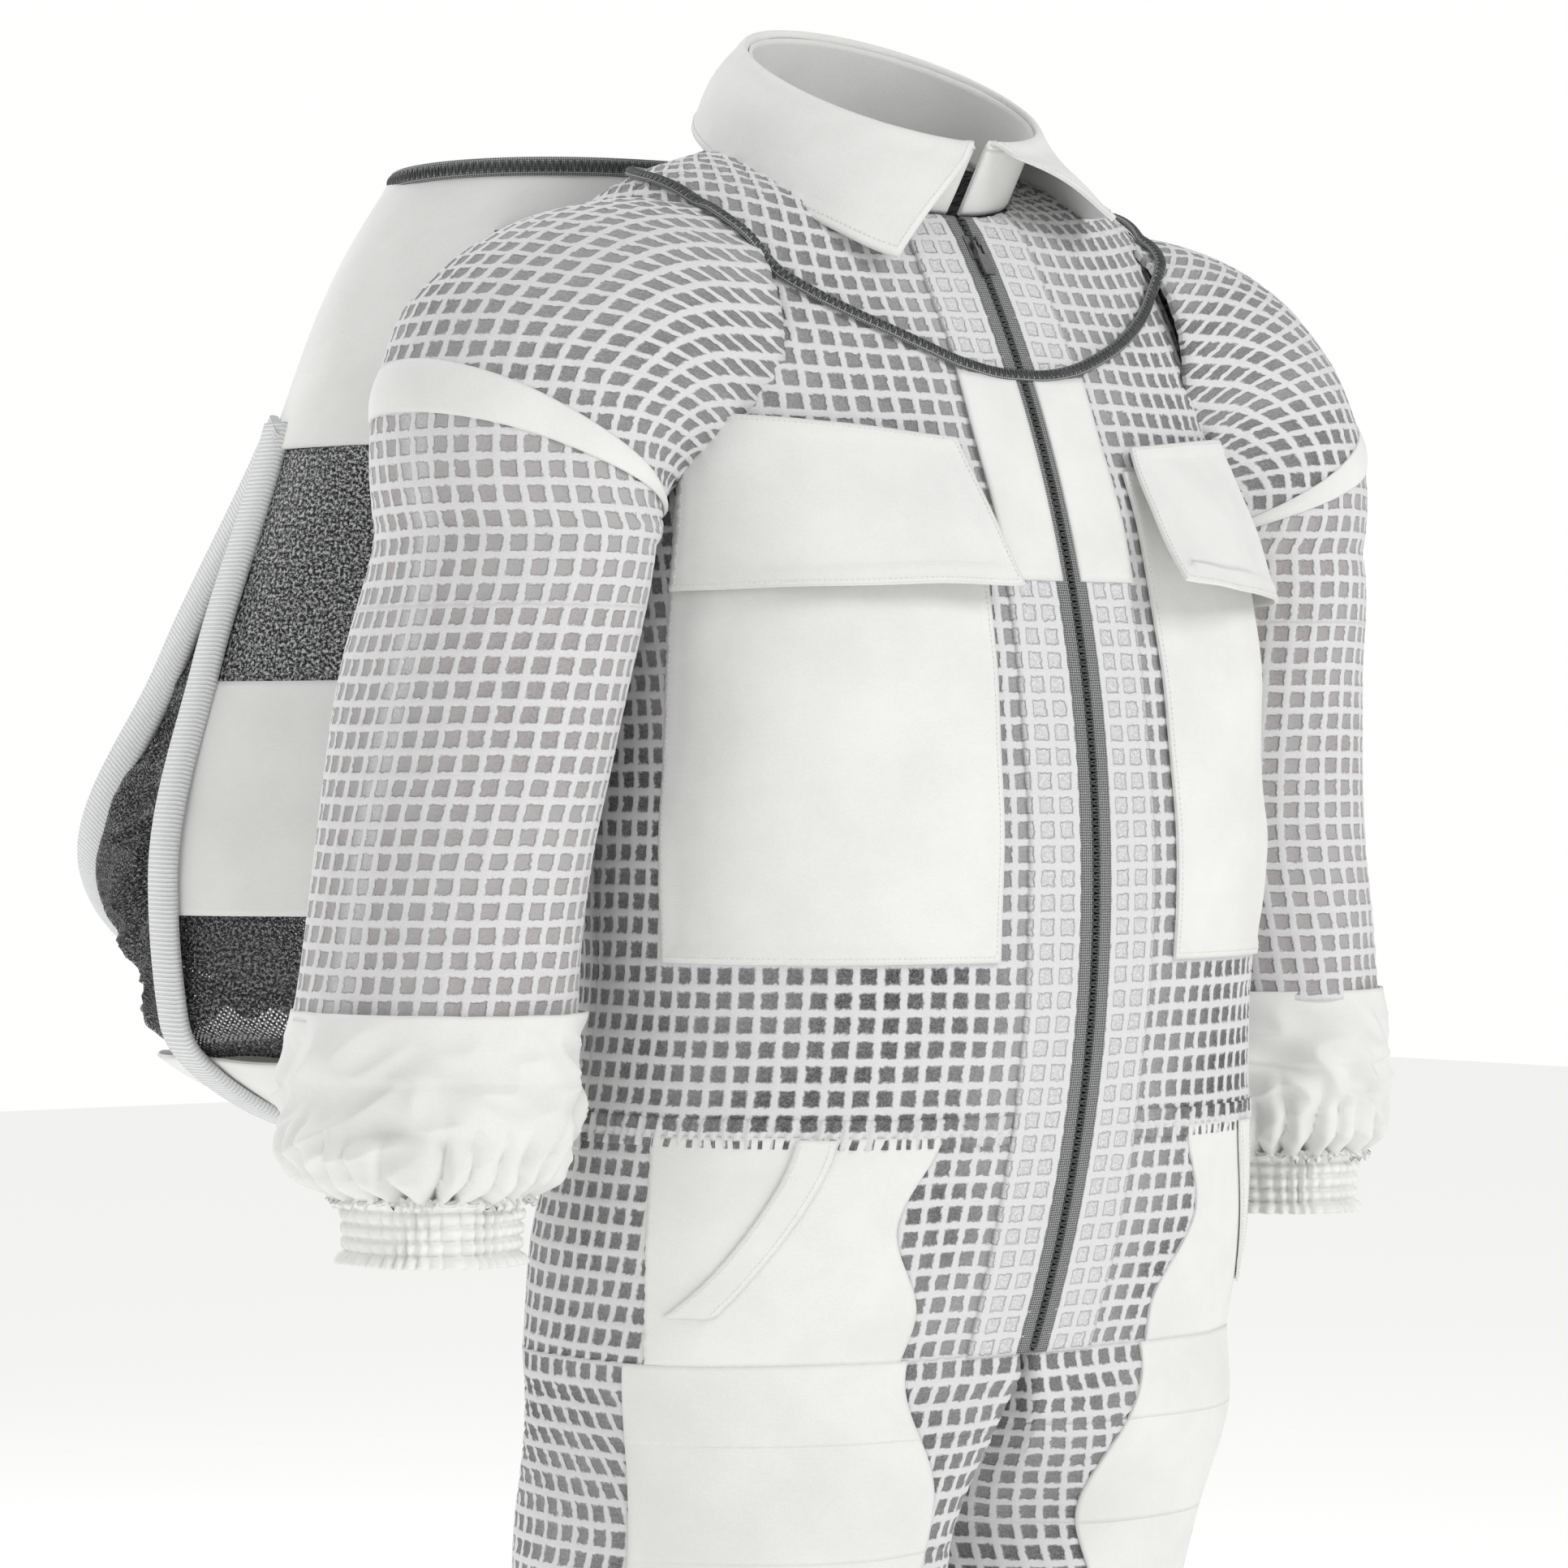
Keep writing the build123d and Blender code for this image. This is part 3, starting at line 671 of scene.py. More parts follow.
    def patch(self, rows, edge_a, edge_b, cols, lift=0.0):
        """Points and texture places between two edges, each a function of the rows giving distances round."""
        rows = np.asarray(rows, float)
        a, b = (np.broadcast_to(edge(rows), rows.shape) for edge in (edge_a, edge_b))
        s = a[:, None] + (b - a)[:, None] * np.linspace(0, 1, cols)[None]
        level = np.repeat(rows[:, None], cols, 1)
        grid = self.pick(self.ring, level, s)
        if np.any(lift):
            n = self.pick(self.ring_n, level, s)
            grid = grid + n / np.linalg.norm(n, axis=2,
                                             keepdims=True) * (lift if np.isscalar(lift) else lift[..., None])
        return grid, np.stack([s, self.pick(self.down, level, s)], 2)


skin = Skin()
BOTTOM = len(skin.ring) - 1
WAIST = float(skin.rows_at(WAIST_Z))


def rows_between(top, bottom, count):
    """Rows of the skin between two heights."""
    return np.linspace(float(skin.rows_at(top)), float(skin.rows_at(bottom)), count)


def panel(name, rows, edge_a, edge_b, cols, material, thick, replaces=(), lift=0.0, square_shade=None,
          body="coverall",
          rib=0.0, shape=None):
    """A piece of the body's surface between two edges, ribbed like the net where rib is given."""
    grid, uv = skin.patch(rows, edge_a, edge_b, cols, lift)
    flip = edge_a(np.array(rows[:1]))[0] < edge_b(np.array(rows[:1]))[0]
    if rib:
        grid = push(grid, (quilt(uv) - 0.5) * rib, flip=flip)
    if shape is not None:
        grid = shape(grid, uv, flip)
    made = make_sheet(name, grid, material, thick, replaces, uv, flip=flip,
                      square_shade=None if square_shade is None else square_shade(grid))
    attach(made, body)
    return made


def body_painted_shade(grid):
    """Painted light and shade on the net's squares: darker low on the chest, paler on the shoulders and near the zip
    facing.
    """
    z, x = grid[..., 2], np.abs(grid[..., 0])
    return np.clip(0.78 - z * 0.5, 0.7, 1.0) * np.where(grid[..., 1] < 0,
                                                        np.clip(0.55 + (x - 0.03) * 7, 0.55, 1.0), 1.0)


def const(value):
    return lambda rows: np.full(np.shape(rows), value, float)


def fly_edge(z):
    """Half width of the mesh beside the zip below the waist, where the cotton leg panel's edge waves."""
    return spline(-z, (0.60, 0.627, 0.684, 0.742, 0.776, 0.815, 0.88),
                  (0.100, 0.102, 0.124, 0.099, 0.104, 0.090, 0.100))


def build_panels():
    """Mesh and cotton panels of the body, split along the seams."""
    chest = np.linspace(0.6, WAIST, 190)
    trunk = np.linspace(WAIST, BOTTOM, 44)
    full = np.linspace(0.6, BOTTOM, 200)
    height = lambda rows: np.interp(rows, np.arange(len(skin.ring)), skin.ring[:, 0, 2])
    for name, side in SIDES.items():
        facing = const(side * 0.046)
        fly = lambda rows, side=side: skin.at_x(rows, side * fly_edge(height(rows)))
        join = lambda rows, side=side: skin.seam(rows, -0.005, side)
        hip = lambda rows, side=side: skin.seam(rows, -0.070, side)
        seat = lambda rows, side=side: skin.seam(rows, 0.075, side)
        panel(f"front_mesh_{name}", chest, facing, join, 90, NET, MESH_THICK, [f"front_panel_{name}"],
              square_shade=body_painted_shade, rib=0.0016)
        panel(f"fly_mesh_{name}", trunk, facing, fly, 20, NET, MESH_THICK, [f"fly_panel_{name}"],
              square_shade=body_painted_shade, rib=0.0016)
        panel(f"hip_cotton_{name}", trunk, fly, hip, 50, COTTON, COTTON_THICK,
              [f"hip_panel_{name}"], lift=0.0015)
        panel(f"side_mesh_{name}", trunk, hip, seat, 45, NET, MESH_THICK, [f"side_panel_{name}"],
              square_shade=body_painted_shade, rib=0.0016)
        panel(f"placket_{name}", full, const(side * 0.0068), const(side * 0.051), 14, NET_PALE, 0.003,
              [f"zip_facing_{name}"], lift=0.0022, rib=0.0008)
        panel(f"label_ground_{name}", rows_between(-0.152, -0.282, 30), const(side * 0.0074),
              const(side * 0.053), 12, COTTON,
              0.0012, lift=0.0038)
        panel(f"tape_{name}", full, const(side * 0.0022), const(side * 0.0125), 4, TAPE, 0.0012,
              [f"zip_tape_{name}"], lift=0.0026)
    length = lambda rows: np.interp(rows, np.arange(len(skin.ring)), skin.round[:, -1])
    for label, rows, y, replaced in (("back_mesh", chest, -0.005, "back_panel"),
                                     ("seat_mesh", trunk, 0.075, "seat_panel")):
        panel(label, rows, lambda r, y=y: skin.seam(r, y, -1), lambda r, y=y: skin.seam(r, y, 1) - length(r),
              150, NET,
              MESH_THICK, [replaced], square_shade=body_painted_shade, rib=0.0016)

    def gathered(grid, uv, flip):
        lean = np.sin(uv[..., 0] * 780 + fold(grid, 30, 9) * 5)
        return push(grid, lean * 0.0011 + fold(grid, 60, 4) * 0.0012, flip=flip)

    front_belt = rows_between(-0.616, -0.634, 9)
    for name, side in SIDES.items():
        panel(f"waist_pucker_{name}", front_belt, const(side * 0.052), lambda r,
              side=side: skin.seam(r, -0.005, side), 220,
              NET, 0.002, lift=0.0014, shape=gathered, square_shade=body_painted_shade)
    belt = rows_between(-0.614, -0.640, 12)
    panel("waist_gather", belt, lambda r: skin.seam(r, -0.005, -1),
          lambda r: skin.seam(r, -0.005, 1) - length(r), 420,
          ELASTIC, 0.002, ["waist_elastic"], lift=0.0025, shape=gathered)


# ---------------------------------------------------------------- sleeves
ARMPIT = (0.213, -0.015, -0.252)
# height, centre x, centre y, half width, half depth of a hanging sleeve, in millimetres
SLEEVE = (
    (-252, 302, -15, 77, 106), (-262, 306, -16, 74, 106), (-340, 314, -4, 78, 105), (-470, 329, 8, 81, 100),
    (-552, 341, 9, 84, 98), (-618, 350, 6, 89, 103), (-650, 355, 0, 76, 86), (-664, 356, -4, 55, 61),
    (-702, 356, -4, 52, 58),
)
SHOULDERS = []
SEAM_TURN = 62           # degrees round the shoulder at which the sleeve is sewn on


def sleeve_ring(side, at, cols):
    """Points of one ring; at is degrees round the shoulder up to 90, or beyond that a height below zero."""
    t = np.linspace(0, 2 * np.pi, cols, endpoint=False) - side * 1.45 + np.pi
    if at >= 0:
        turn = math.radians(at)
        near = 0.012
        far = float(np.interp(at, (0, 45, 90), (0.213, 0.203, 0.166)))
        out = np.array((side * math.sin(turn), 0, math.cos(turn)))
        groove_shade = float(np.interp(at, (0, 90), (0.104, 0.106)))
        centre = np.array((side * ARMPIT[0], ARMPIT[1], ARMPIT[2])) + out * (near + far) / 2
        return centre + out * (-side * (far - near) / 2) * np.sin(t)[:,
                                                                     None] + np.array((0, -groove_shade,
                                                                                       0)) * np.cos(t)[:,
                                                                                                       None]
    x, y, a, b = station(SLEEVE, at)
    return np.stack([side * x - a * np.sin(t), y - b * np.cos(t), np.full(cols, at)], 1)


def sleeve_grid(side, levels, cols):
    return np.array([sleeve_ring(side, at, cols) for at in levels])


def build_sleeves():
    """Each sleeve is one surface, cut at the shoulder seam and above the elbow."""
    for name, side in SIDES.items():
        seed = 3 if side < 0 else 5
        reach = [sleeve_ring(side, 0, 150) - np.array((side * d, 0, 0)) for d in (0.045, 0.035, 0.025, 0.015,
                                                                                  0.007)]
        round_arm = [*np.linspace(0, SEAM_TURN, 32), *np.linspace(SEAM_TURN, 89, 15)[1:]]
        hanging = [*np.linspace(-0.254, -0.300, 14), *np.linspace(-0.300, -0.556, 85)[1:]]
        whole = np.concatenate([np.array(reach), sleeve_grid(side, round_arm + hanging, 150)])
        loose = np.concatenate([np.zeros(5), step(np.array(round_arm), 5, 60), np.ones(len(hanging))])[:,
                                                                                                       None]
        puff = np.concatenate([np.zeros(5 + len(round_arm)), step(np.array(hanging), -0.46, -0.552)])[:, None]
        seam_row, cut_row = 5 + 31, 5 + len(round_arm) + 13
        soft = fold(whole, 11, seed, (1, 1, 0.45)) * 0.010 + fold(whole, 24, seed + 4,
                                                                  (1, 1, 0.3)) * 0.005 * puff
        whole = push(whole, soft * loose, closed=True)
        uv = column_uv(whole, cut_row)
        shoulder = whole
        whole = push(whole, (quilt(uv[:, :-1]) - 0.5) * 0.0016, closed=True)
        strip = 0.35 + 0.65 * step(np.abs(uv[:, :-1, 0]), 0.008, 0.014)
        for part, rows, material, square_shade in (
            ("sleeve_head", slice(0, seam_row + 1), NET, body_painted_shade(whole)),
            ("upper_sleeve", slice(seam_row, cut_row + 1), NET_SLEEVE_BACKLIT, 0.95 * strip),
            ("elbow_section", slice(cut_row, None), NET_SLEEVE_BACKLIT, strip),
        ):
            piece = make_sheet(f"{part}_{name}", whole[rows], material, MESH_THICK,
                               [f"{part}_{name}"], uv[rows],
                               closed=True, square_shade=square_shade[rows])
            if part == "elbow_section":
                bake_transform(piece)
            else:
                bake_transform(piece)
        near = shoulder[seam_row - 2: seam_row + 4]
        places = np.linspace(0, 5, 13)
        low = np.clip(np.floor(places), 0, 4).astype(int)
        band = near[low] * (1 - (places - low))[:, None, None] + near[low + 1] * (places - low)[:, None, None]
        band = push(band,
                    np.full(band.shape[:2], 0.0015) + np.sin(np.linspace(0, np.pi, 13))[:, None] * 0.002,
                    closed=True)
        piece = make_sheet(f"sleeve_seam_band_{name}", band, COTTON, 0.0015, closed=True)
        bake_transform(piece)
        SHOULDERS.append(shoulder[: seam_row + 1])
        build_forearm(name, side, seed)


def build_forearm(name, side, seed):
    """Cotton lower sleeve with a turned band at its top, gathered into an elastic cuff."""
    cols = 260
    t = np.linspace(0, 2 * np.pi, cols, endpoint=False)
    heights = np.concatenate([np.linspace(-0.550, -0.592, 16), np.linspace(-0.5945, -0.6645, 54)])
    grid = sleeve_grid(side, heights, cols)
    drop = step(heights, -0.598, -0.664)[:, None]
    belly = np.sin(np.clip((heights + 0.55) / -0.114, 0, 1) * np.pi)[:, None]
    tilt = 0.006 * np.sin(t)[None] + 0.003 * np.sin(2 * t + 1)[None]
    lift = 0.0034 * (1 - step(-heights[:, None] + tilt, 0.5905, 0.5945)) + 0.0006
    slant = grid @ np.array(((1, 0, 0.5), (0, 1, 0.3), (-0.6, 0.2, 1)))
    soft = fold(slant, 15, seed,
                (1, 1, 1.6)) * 0.016 * belly - np.abs(fold(slant, 22, seed + 1, (1, 1, 1.8))) * 0.014 * belly
    phase = fold(grid * np.array((1, 1, 0.15)), 28, seed + 2) * 2.6
    pleats = (np.abs(np.sin(t * 12 + phase)) ** 0.7 - 0.6) * 0.013 * drop + np.sin(t * 31 + phase * 2) * 0.0014 * drop
    grid = push(grid, lift + soft + pleats * 0.9, closed=True)
    piece = make_sheet(f"forearm_{name}", grid, COTTON, COTTON_THICK, [f"forearm_{name}"],
                       closed=True)
    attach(piece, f"forearm_{name}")
    levels = np.linspace(-0.660, -0.7045, 40)
    cuff = sleeve_grid(side, np.maximum(levels, -0.702), cols)
    cuff[..., 2] = levels[:, None]
    share = (levels + 0.660) / -0.0445
    frill = np.exp(-((share - 0.06) / 0.10) ** 2) + np.exp(-((share - 0.97) / 0.10) ** 2)
    rows = sum(np.exp(-((share - c) / 0.035) ** 2) for c in (0.22, 0.42, 0.62, 0.82))
    wander = fold(np.stack([np.cos(t), np.sin(t), np.zeros(cols)], 1), 2.2, seed + 6) * 2.4
    ridge = np.abs(np.sin(t[None] * 20 + wander[None] + share[:, None] * 0.8)) ** 0.8
    ridge = ridge * 0.0052 * (1 - 0.4 * rows[:,
                                             None]) + np.sin(t[None] * 47 + wander[None] * 3) * 0.0008 - 0.003
    cuff = push(cuff, ridge + 0.0045 * frill[:, None] - 0.0012 * rows[:, None], closed=True)
    piece = make_sheet(f"wrist_cuff_{name}", cuff, ELASTIC, 0.003, [f"wrist_cuff_{name}"],
                       closed=True)
    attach(piece, f"forearm_{name}")


# ---------------------------------------------------------------- chest pockets and flaps
def framed(grid, uv, flip, belly=0.003, hem=0.010, rise=0.0009, seed=1):
    """A sewn patch: flat hems a little proud of a slightly bellied middle."""
    rows, cols = grid.shape[:2]
    r, c = np.linspace(0, 1, rows)[:, None], np.linspace(0, 1, cols)[None]
    long, wide = np.ptp(uv[..., 1]), np.ptp(uv[..., 0])
    edge = np.minimum(np.minimum(r, 1 - r) * long, np.minimum(c, 1 - c) * wide)
    middle = np.sin(r * np.pi) * np.sin(c * np.pi)
    waver = fold(grid, 14, seed) * 0.0022 + fold(grid, 34, seed + 3) * 0.0007
    lift = middle * belly + rise * (1 - step(edge, hem - 0.001, hem + 0.001)) + waver * step(edge, 0, 0.02)
    return push(grid, lift, flip=flip)


def edge_rows(grid, flip, inset, sides="lrtb"):
    """Paths just inside the edges of a patch, with normals, for stitching."""
    n = normals_of(grid) * (-1 if flip else 1)
    step_r = np.linalg.norm(np.diff(grid, axis=0), axis=2).mean()
    step_c = np.linalg.norm(np.diff(grid, axis=1), axis=2).mean()
    r, c = max(1, round(inset / step_r)), max(1, round(inset / step_c))
    lines = {"l": (slice(r, -r), c), "r": (slice(r, -r), -1 - c), "t": (r, slice(c, -c)),
             "b": (-1 - r, slice(c, -c))}
    return [(grid[lines[k]] + n[lines[k]] * 0.0003, n[lines[k]]) for k in sides]


def build_pockets():
    for name, side in SIDES.items():
        seed = 11 if side < 0 else 17
        saved = {}

        def patch_shape(grid, uv, flip):
            saved["pocket"] = framed(grid, uv, flip, 0.004, seed=seed), flip
            return saved["pocket"][0]

        rows = rows_between(-0.212, -0.520, 90)
        depth = np.linspace(0, 1, 90)
        inner = lambda r: skin.at_x(r, side * (0.066 + 0.006 * np.interp(r, rows, depth)))
        outer = lambda r: skin.seam(r, -0.075, side)
        panel(f"chest_pocket_{name}", rows, inner, outer, 70, COTTON, PATCH_THICK,
              [f"chest_pocket_{name}"],
              lift=0.0028, shape=patch_shape)
        stitches(f"pocket_stitches_{name}", edge_rows(*saved["pocket"], 0.0035), THREAD, "coverall")

        def flap_shape(grid, uv, flip):
            grid = framed(grid, uv, flip, 0.002, seed=seed + 1)
            r, c = np.linspace(0, 1, grid.shape[0])[:, None], np.linspace(0, 1, grid.shape[1])[None]
            toward_zip = 1 - c
            if side < 0:
                flare = 0.006 * r**2 + 0.010 * r**3 * toward_zip**2 + 0.003 * r * np.sin(c * 5.0)
            else:
                flare = 0.012 * r**1.5 + 0.022 * r**2 * toward_zip**1.5 + 0.006 * r * np.sin(c * 7.5 + 0.6)
            saved["flap"] = push(grid, flare, flip=flip), flip
            return saved["flap"][0]

        rows_f = rows_between(-0.199, -0.290, 40)
        down = np.linspace(0, 1, 40)
        inner_f = lambda r: skin.at_x(r, side * (0.073 - 0.017 * np.interp(r, rows_f, down)))
        outer_f = lambda r: skin.seam(r, -0.082, side)
        panel(f"chest_flap_{name}", rows_f, inner_f, outer_f, 70, COTTON, PATCH_THICK,
              [f"chest_flap_{name}"],
              lift=0.0085, shape=flap_shape, body=f"flap_{name}")
        stitches(f"flap_stitches_{name}", edge_rows(*saved["flap"], 0.0035), THREAD, f"flap_{name}")

        def mouth(grid, uv, flip):
            saved["mouth"] = grid, flip
            return grid

        low_rows = rows_between(WAIST_Z - 0.001, -0.740, 44)
        z_of = np.linspace(WAIST_Z, -0.740, 44)
        curve = lambda r: np.interp(r, low_rows, 0.166 + 0.050 * ((WAIST_Z - z_of) / 0.113) ** 1.5)
        panel(f"pocket_mouth_{name}", low_rows, lambda r: skin.at_x(r, side * np.minimum(curve(r), 0.238)),
              lambda r: skin.at_x(r, side * np.minimum(curve(r) + 0.018, 0.244)) + side * 0.002, 8, COTTON,
              0.0015,
              [f"pocket_facing_{name}"], lift=0.0042, shape=mouth)
        stitches(f"mouth_stitches_{name}", edge_rows(*saved["mouth"], 0.003, "lr"), THREAD, "coverall")


# ---------------------------------------------------------------- collar
def ellipse_ring(centre_y, z, half_x, half_y, turns, slope=0.5):
    x, y = -half_x * np.sin(turns), centre_y - half_y * np.cos(turns)
    return np.stack([x, y, z + slope * (y - centre_y)], -1)


def build_collar():
    cols = 150
    wrap = lambda start, end: np.linspace(start, 2 * np.pi - end, cols)
    low = ellipse_ring(0.004, 0.001, 0.0955, 0.0835, wrap(0.06, 0.06))
    top = ellipse_ring(-0.018, 0.044, 0.097, 0.090, wrap(0.05, 0.05))
    share = np.linspace(0, 1, 14)[:, None, None]
    stand = top * (1 - share) + low * share
    stand = push(stand, fold(stand, 20, 21) * 0.0015)
    piece = make_sheet("collar_stand", stand, COTTON, COTTON_THICK, ["collar_stand"])
    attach(piece, "coverall")
    crest = ellipse_ring(-0.018, 0.0485, 0.0985, 0.0925, wrap(0.05, 0.05))
    fall_a, fall_b = 0.62, 0.66
    hem_turn = wrap(fall_a, fall_b)
    hem = ellipse_ring(-0.012, -0.015, 0.129, 0.124, hem_turn)
    c = np.linspace(0, 1, cols)
    near_right, near_left = np.exp(-(c / 0.10) ** 2), np.exp(-((1 - c) / 0.10) ** 2)
    hem += near_right[:, None] * np.array((-0.006, -0.012, -0.010)) + near_left[:,
                                                                                None] * np.array((0.020,
                                                                                                  -0.004,
                                                                                                  0.016))
    rows = 34
    w = np.linspace(0, 1, rows)
    grid = np.empty((rows, cols, 3))
    for k, part in enumerate(w):
        over = min(1.0, part / 0.16)
        line = crest * (1 - part) + hem * part
        start = top * (1 - over) + line * over
        rise = 0.0035 * math.sin(math.pi * over) if part < 0.16 else 0
        grid[k] = start + np.array((0, 0, rise))
    bow = np.sin(w * np.pi)[:, None] * (0.006 + 0.006 * near_left + 0.003 * near_right)[None]
    curl = (w**3)[:, None] * (0.004 * fold(hem * 1.0, 15, 23) + 0.010 * near_left**2)[None]
    grid = push(grid, bow + curl)
    edge = np.minimum((1 - w)[:, None] * 0.07, np.minimum(c, 1 - c)[None] * 0.55)
    grid = push(grid, 0.0007 * (1 - step(edge, 0.006, 0.008)))
    piece = make_sheet("collar_leaf", grid, COTTON, 0.0024, ["collar_leaf"])
    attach(piece, "coverall")
    stitches("collar_stitches", edge_rows(grid, False, 0.005, "lrb"), THREAD, "coverall")


# ---------------------------------------------------------------- zips
def arc_point(z, out=0.0):
    """Point on the front zip's centre line, out from the cloth."""
    y = ARC_CENTRE[0] - math.sqrt(ARC_RADIUS**2 - (z - ARC_CENTRE[1]) ** 2)
    n = np.array((0, y - ARC_CENTRE[0], z - ARC_CENTRE[1])) / ARC_RADIUS
    return np.array((0, y, z)) + n * out, n


def coil(name, path, normals, pitch, half, rise, material, replaces=(), closed=False):
    """Interlocking coil teeth: a row of slanting rounded bars along a path."""
    path, normals = np.asarray(path), np.asarray(normals)
    if closed:
        path, normals = np.concatenate([path, path[:1]]), np.concatenate([normals, normals[:1]])
    run = np.concatenate([[0], np.cumsum(np.linalg.norm(np.diff(path, axis=0), axis=1))])
    at = np.arange(pitch / 2, run[-1], pitch)
    point = np.stack([np.interp(at, run, path[:, k]) for k in range(3)], 1)
    ahead = np.stack([np.interp(at + 0.001, run, path[:, k]) - np.interp(at - 0.001, run,
                                                                         path[:, k]) for k in range(3)], 1)
    ahead /= np.maximum(np.linalg.norm(ahead, axis=1, keepdims=True), 1e-9)
    n = np.stack([np.interp(at, run, normals[:, k]) for k in range(3)], 1)
    n /= np.linalg.norm(n, axis=1, keepdims=True)
    aside = np.cross(ahead, n)
    verts, faces = [], []
    bar = ((-1.0, 0.35, 0.0), (-0.55, 0.85, 0.06), (0.0, 1.0, 0.0), (0.55, 0.85, -0.06), (1.0, 0.35, 0.0))
    for k in range(len(at)):
        lean = 1 if k % 2 else -1
        base = len(verts)
        for s, high, shift in bar:
            mid = point[k] + aside[k] * half * s + ahead[k] * (pitch * 0.55 * s * lean * 0.5)
            for a, b in ((-0.34, 0.0), (-0.26, high), (0.26, high), (0.34, 0.0)):
                verts.append(mid + ahead[k] * pitch * a + n[k] * rise * b)
        for level in range(0, 16, 4):
            faces += [(base + level + j, base + level + (j + 1) % 4, base + level + 4 + (j + 1) % 4,
                       base + level + 4 + j)
                      for j in range(4)]
        faces += [(base + 3, base + 2, base + 1, base), (base + 16, base + 17, base + 18, base + 19)]
    corner = np.array([(v % 2, v // 2) for f in faces for v in range(4)]) * 0.001
    made = new_object(name, verts, faces, corner, material)
    if replaces:
        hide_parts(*replaces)
    return made


def node_line(name, count):
    """Centre line of a closed tube node that goes round the z axis, as points at even turns."""
    points = np.array([v.co for v in nodes[name].data.vertices])
    angle = np.arctan2(-points[:, 0], -points[:, 1] )
    turns = np.linspace(-np.pi, np.pi, count, endpoint=False)
    line = []
    for turn in turns:
        gap = np.abs((angle - turn + np.pi) % (2 * np.pi) - np.pi)
        weight = np.exp(-((gap / 0.07) ** 2))
        line.append((points * weight[:, None]).sum(0) / weight.sum())
    line = np.array(line)
    for _ in range(3):
        line = (np.roll(line, 1, 0) + 2 * line + np.roll(line, -1, 0)) / 4
    return line


def build_zips():
    heights = np.linspace(-0.046, CROTCH_Z + 0.004, 240)
    spine = [arc_point(z, 0.0030) for z in heights]
    piece = coil("zip_coil", [p for p, _ in spine], [n for _, n in spine], 0.0021, 0.0030, 0.0020, TEETH,
                 ["front_zip_teeth"])
    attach(piece, "coverall")
    line = node_line("ring_zip", 420)
    verts, faces = [], []
    for grid in (skin.grid, *SHOULDERS):
        faces += [tuple(int(k) + len(verts) for k in f) for f in quads(*grid.shape[:2], True, grid.shape[1])]
        verts += [Vector(p) for p in grid.reshape(-1, 3)]
    tree = BVHTree.FromPolygons(verts, faces)
    seated, outward = [], []
    for p in line:
        way = p - np.array((0, 0, -0.30))
        way /= np.linalg.norm(way)
        found = tree.ray_cast(Vector(p + way * 0.08), Vector(-way))
        normal = np.array(found[1])
        normal = -normal if normal @ way < 0 else normal
        seated.append(np.array(found[0]) + normal * 0.0035)
        outward.append(normal)
    seated, outward = np.array(seated), np.array(outward)
    for _ in range(6):
        seated = (np.roll(seated, 1, 0) + 2 * seated + np.roll(seated, -1, 0)) / 4
        outward = (np.roll(outward, 1, 0) + 2 * outward + np.roll(outward, -1, 0)) / 4
    tape = sweep("ring_zip_tape", seated, outward, round_profile(0.0042, 0.0022, 12), TAPE,
                 closed=True,
                 replaces=["ring_zip", "ring_zip_front_ends"])
    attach(tape, "coverall")
    teeth = coil("ring_zip_coil", seated + outward * 0.0012, outward, 0.0022, 0.0030, 0.0022, TEETH,
                 closed=True)
    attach(teeth, "coverall")
    rim = node_line_hood()
    edge = sweep("hood_zip_edge", rim[0], rim[1], round_profile(0.0062, 0.0030, 12), TAPE,
                 closed=True,
                 replaces=["hood_zip_edge"])
    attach(edge, "hood")
    teeth = coil("hood_zip_coil", rim[0] + rim[1] * 0.002, rim[1], 0.0024, 0.0036, 0.0026, TEETH,
                 closed=True)
    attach(teeth, "hood")


def node_line_hood():
    turns = np.linspace(0, 2 * np.pi, 360, endpoint=False)
    x, y, a, b = station(HOOD, 0.001)
    out = np.stack([-np.sin(turns), -np.cos(turns) * a / b, np.zeros(360)], 1)
    out /= np.linalg.norm(out, axis=1, keepdims=True)
    line = np.stack([x - a * np.sin(turns), y - b * np.cos(turns), 0.001 + 0.003 * np.sin(turns * 2 + 0.6)],
                    1)
    return line + out * 0.001, out


# ---------------------------------------------------------------- hood
# height, centre x, centre y, half width, half depth of the folded hood, in millimetres
HOOD = (
    (8, 0, 245, 198, 103), (-70, 0, 280, 225, 140), (-180, 0, 310, 250, 170), (-330, -15, 350, 283, 205),
    (-473, -25, 388, 312, 243), (-570, -25, 370, 300, 225), (-630, -18, 322, 235, 175),
    (-662, -10, 290, 130, 100),
)
HOOP_Y = 0.345
HOOP_PIVOT_Z = -0.165
HOOP_LEAN = math.tan(math.radians(32))
HOOP_HALF = 0.014


def hood_ring(z, turns):
    x, y, a, b = station(HOOD, z)
    return np.stack([x - a * np.sin(turns), y - b * np.cos(turns), np.broadcast_to(z, np.shape(turns))], -1)


def hood_turn(z, plane_y):
    """Turn at which the hood's wall passes behind plane_y at height z."""
    _, y, _, b = station(HOOD, z)
    return math.acos(float(np.clip((y - plane_y) / b, -1, 1)))


def hood_part(name, heights, edges, cols, material, thick, replaces, shape=None, lift=0.0):
    """A piece of the hood's wall; edges gives the two turns between which it lies at a height."""
    grid = np.array([hood_ring(z, np.linspace(*edges(z), cols)) for z in heights])
    if shape is not None:
        grid = shape(grid)
    piece = make_sheet(name, grid, material, thick, replaces, lift=lift)
    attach(piece, "hood")
    return grid


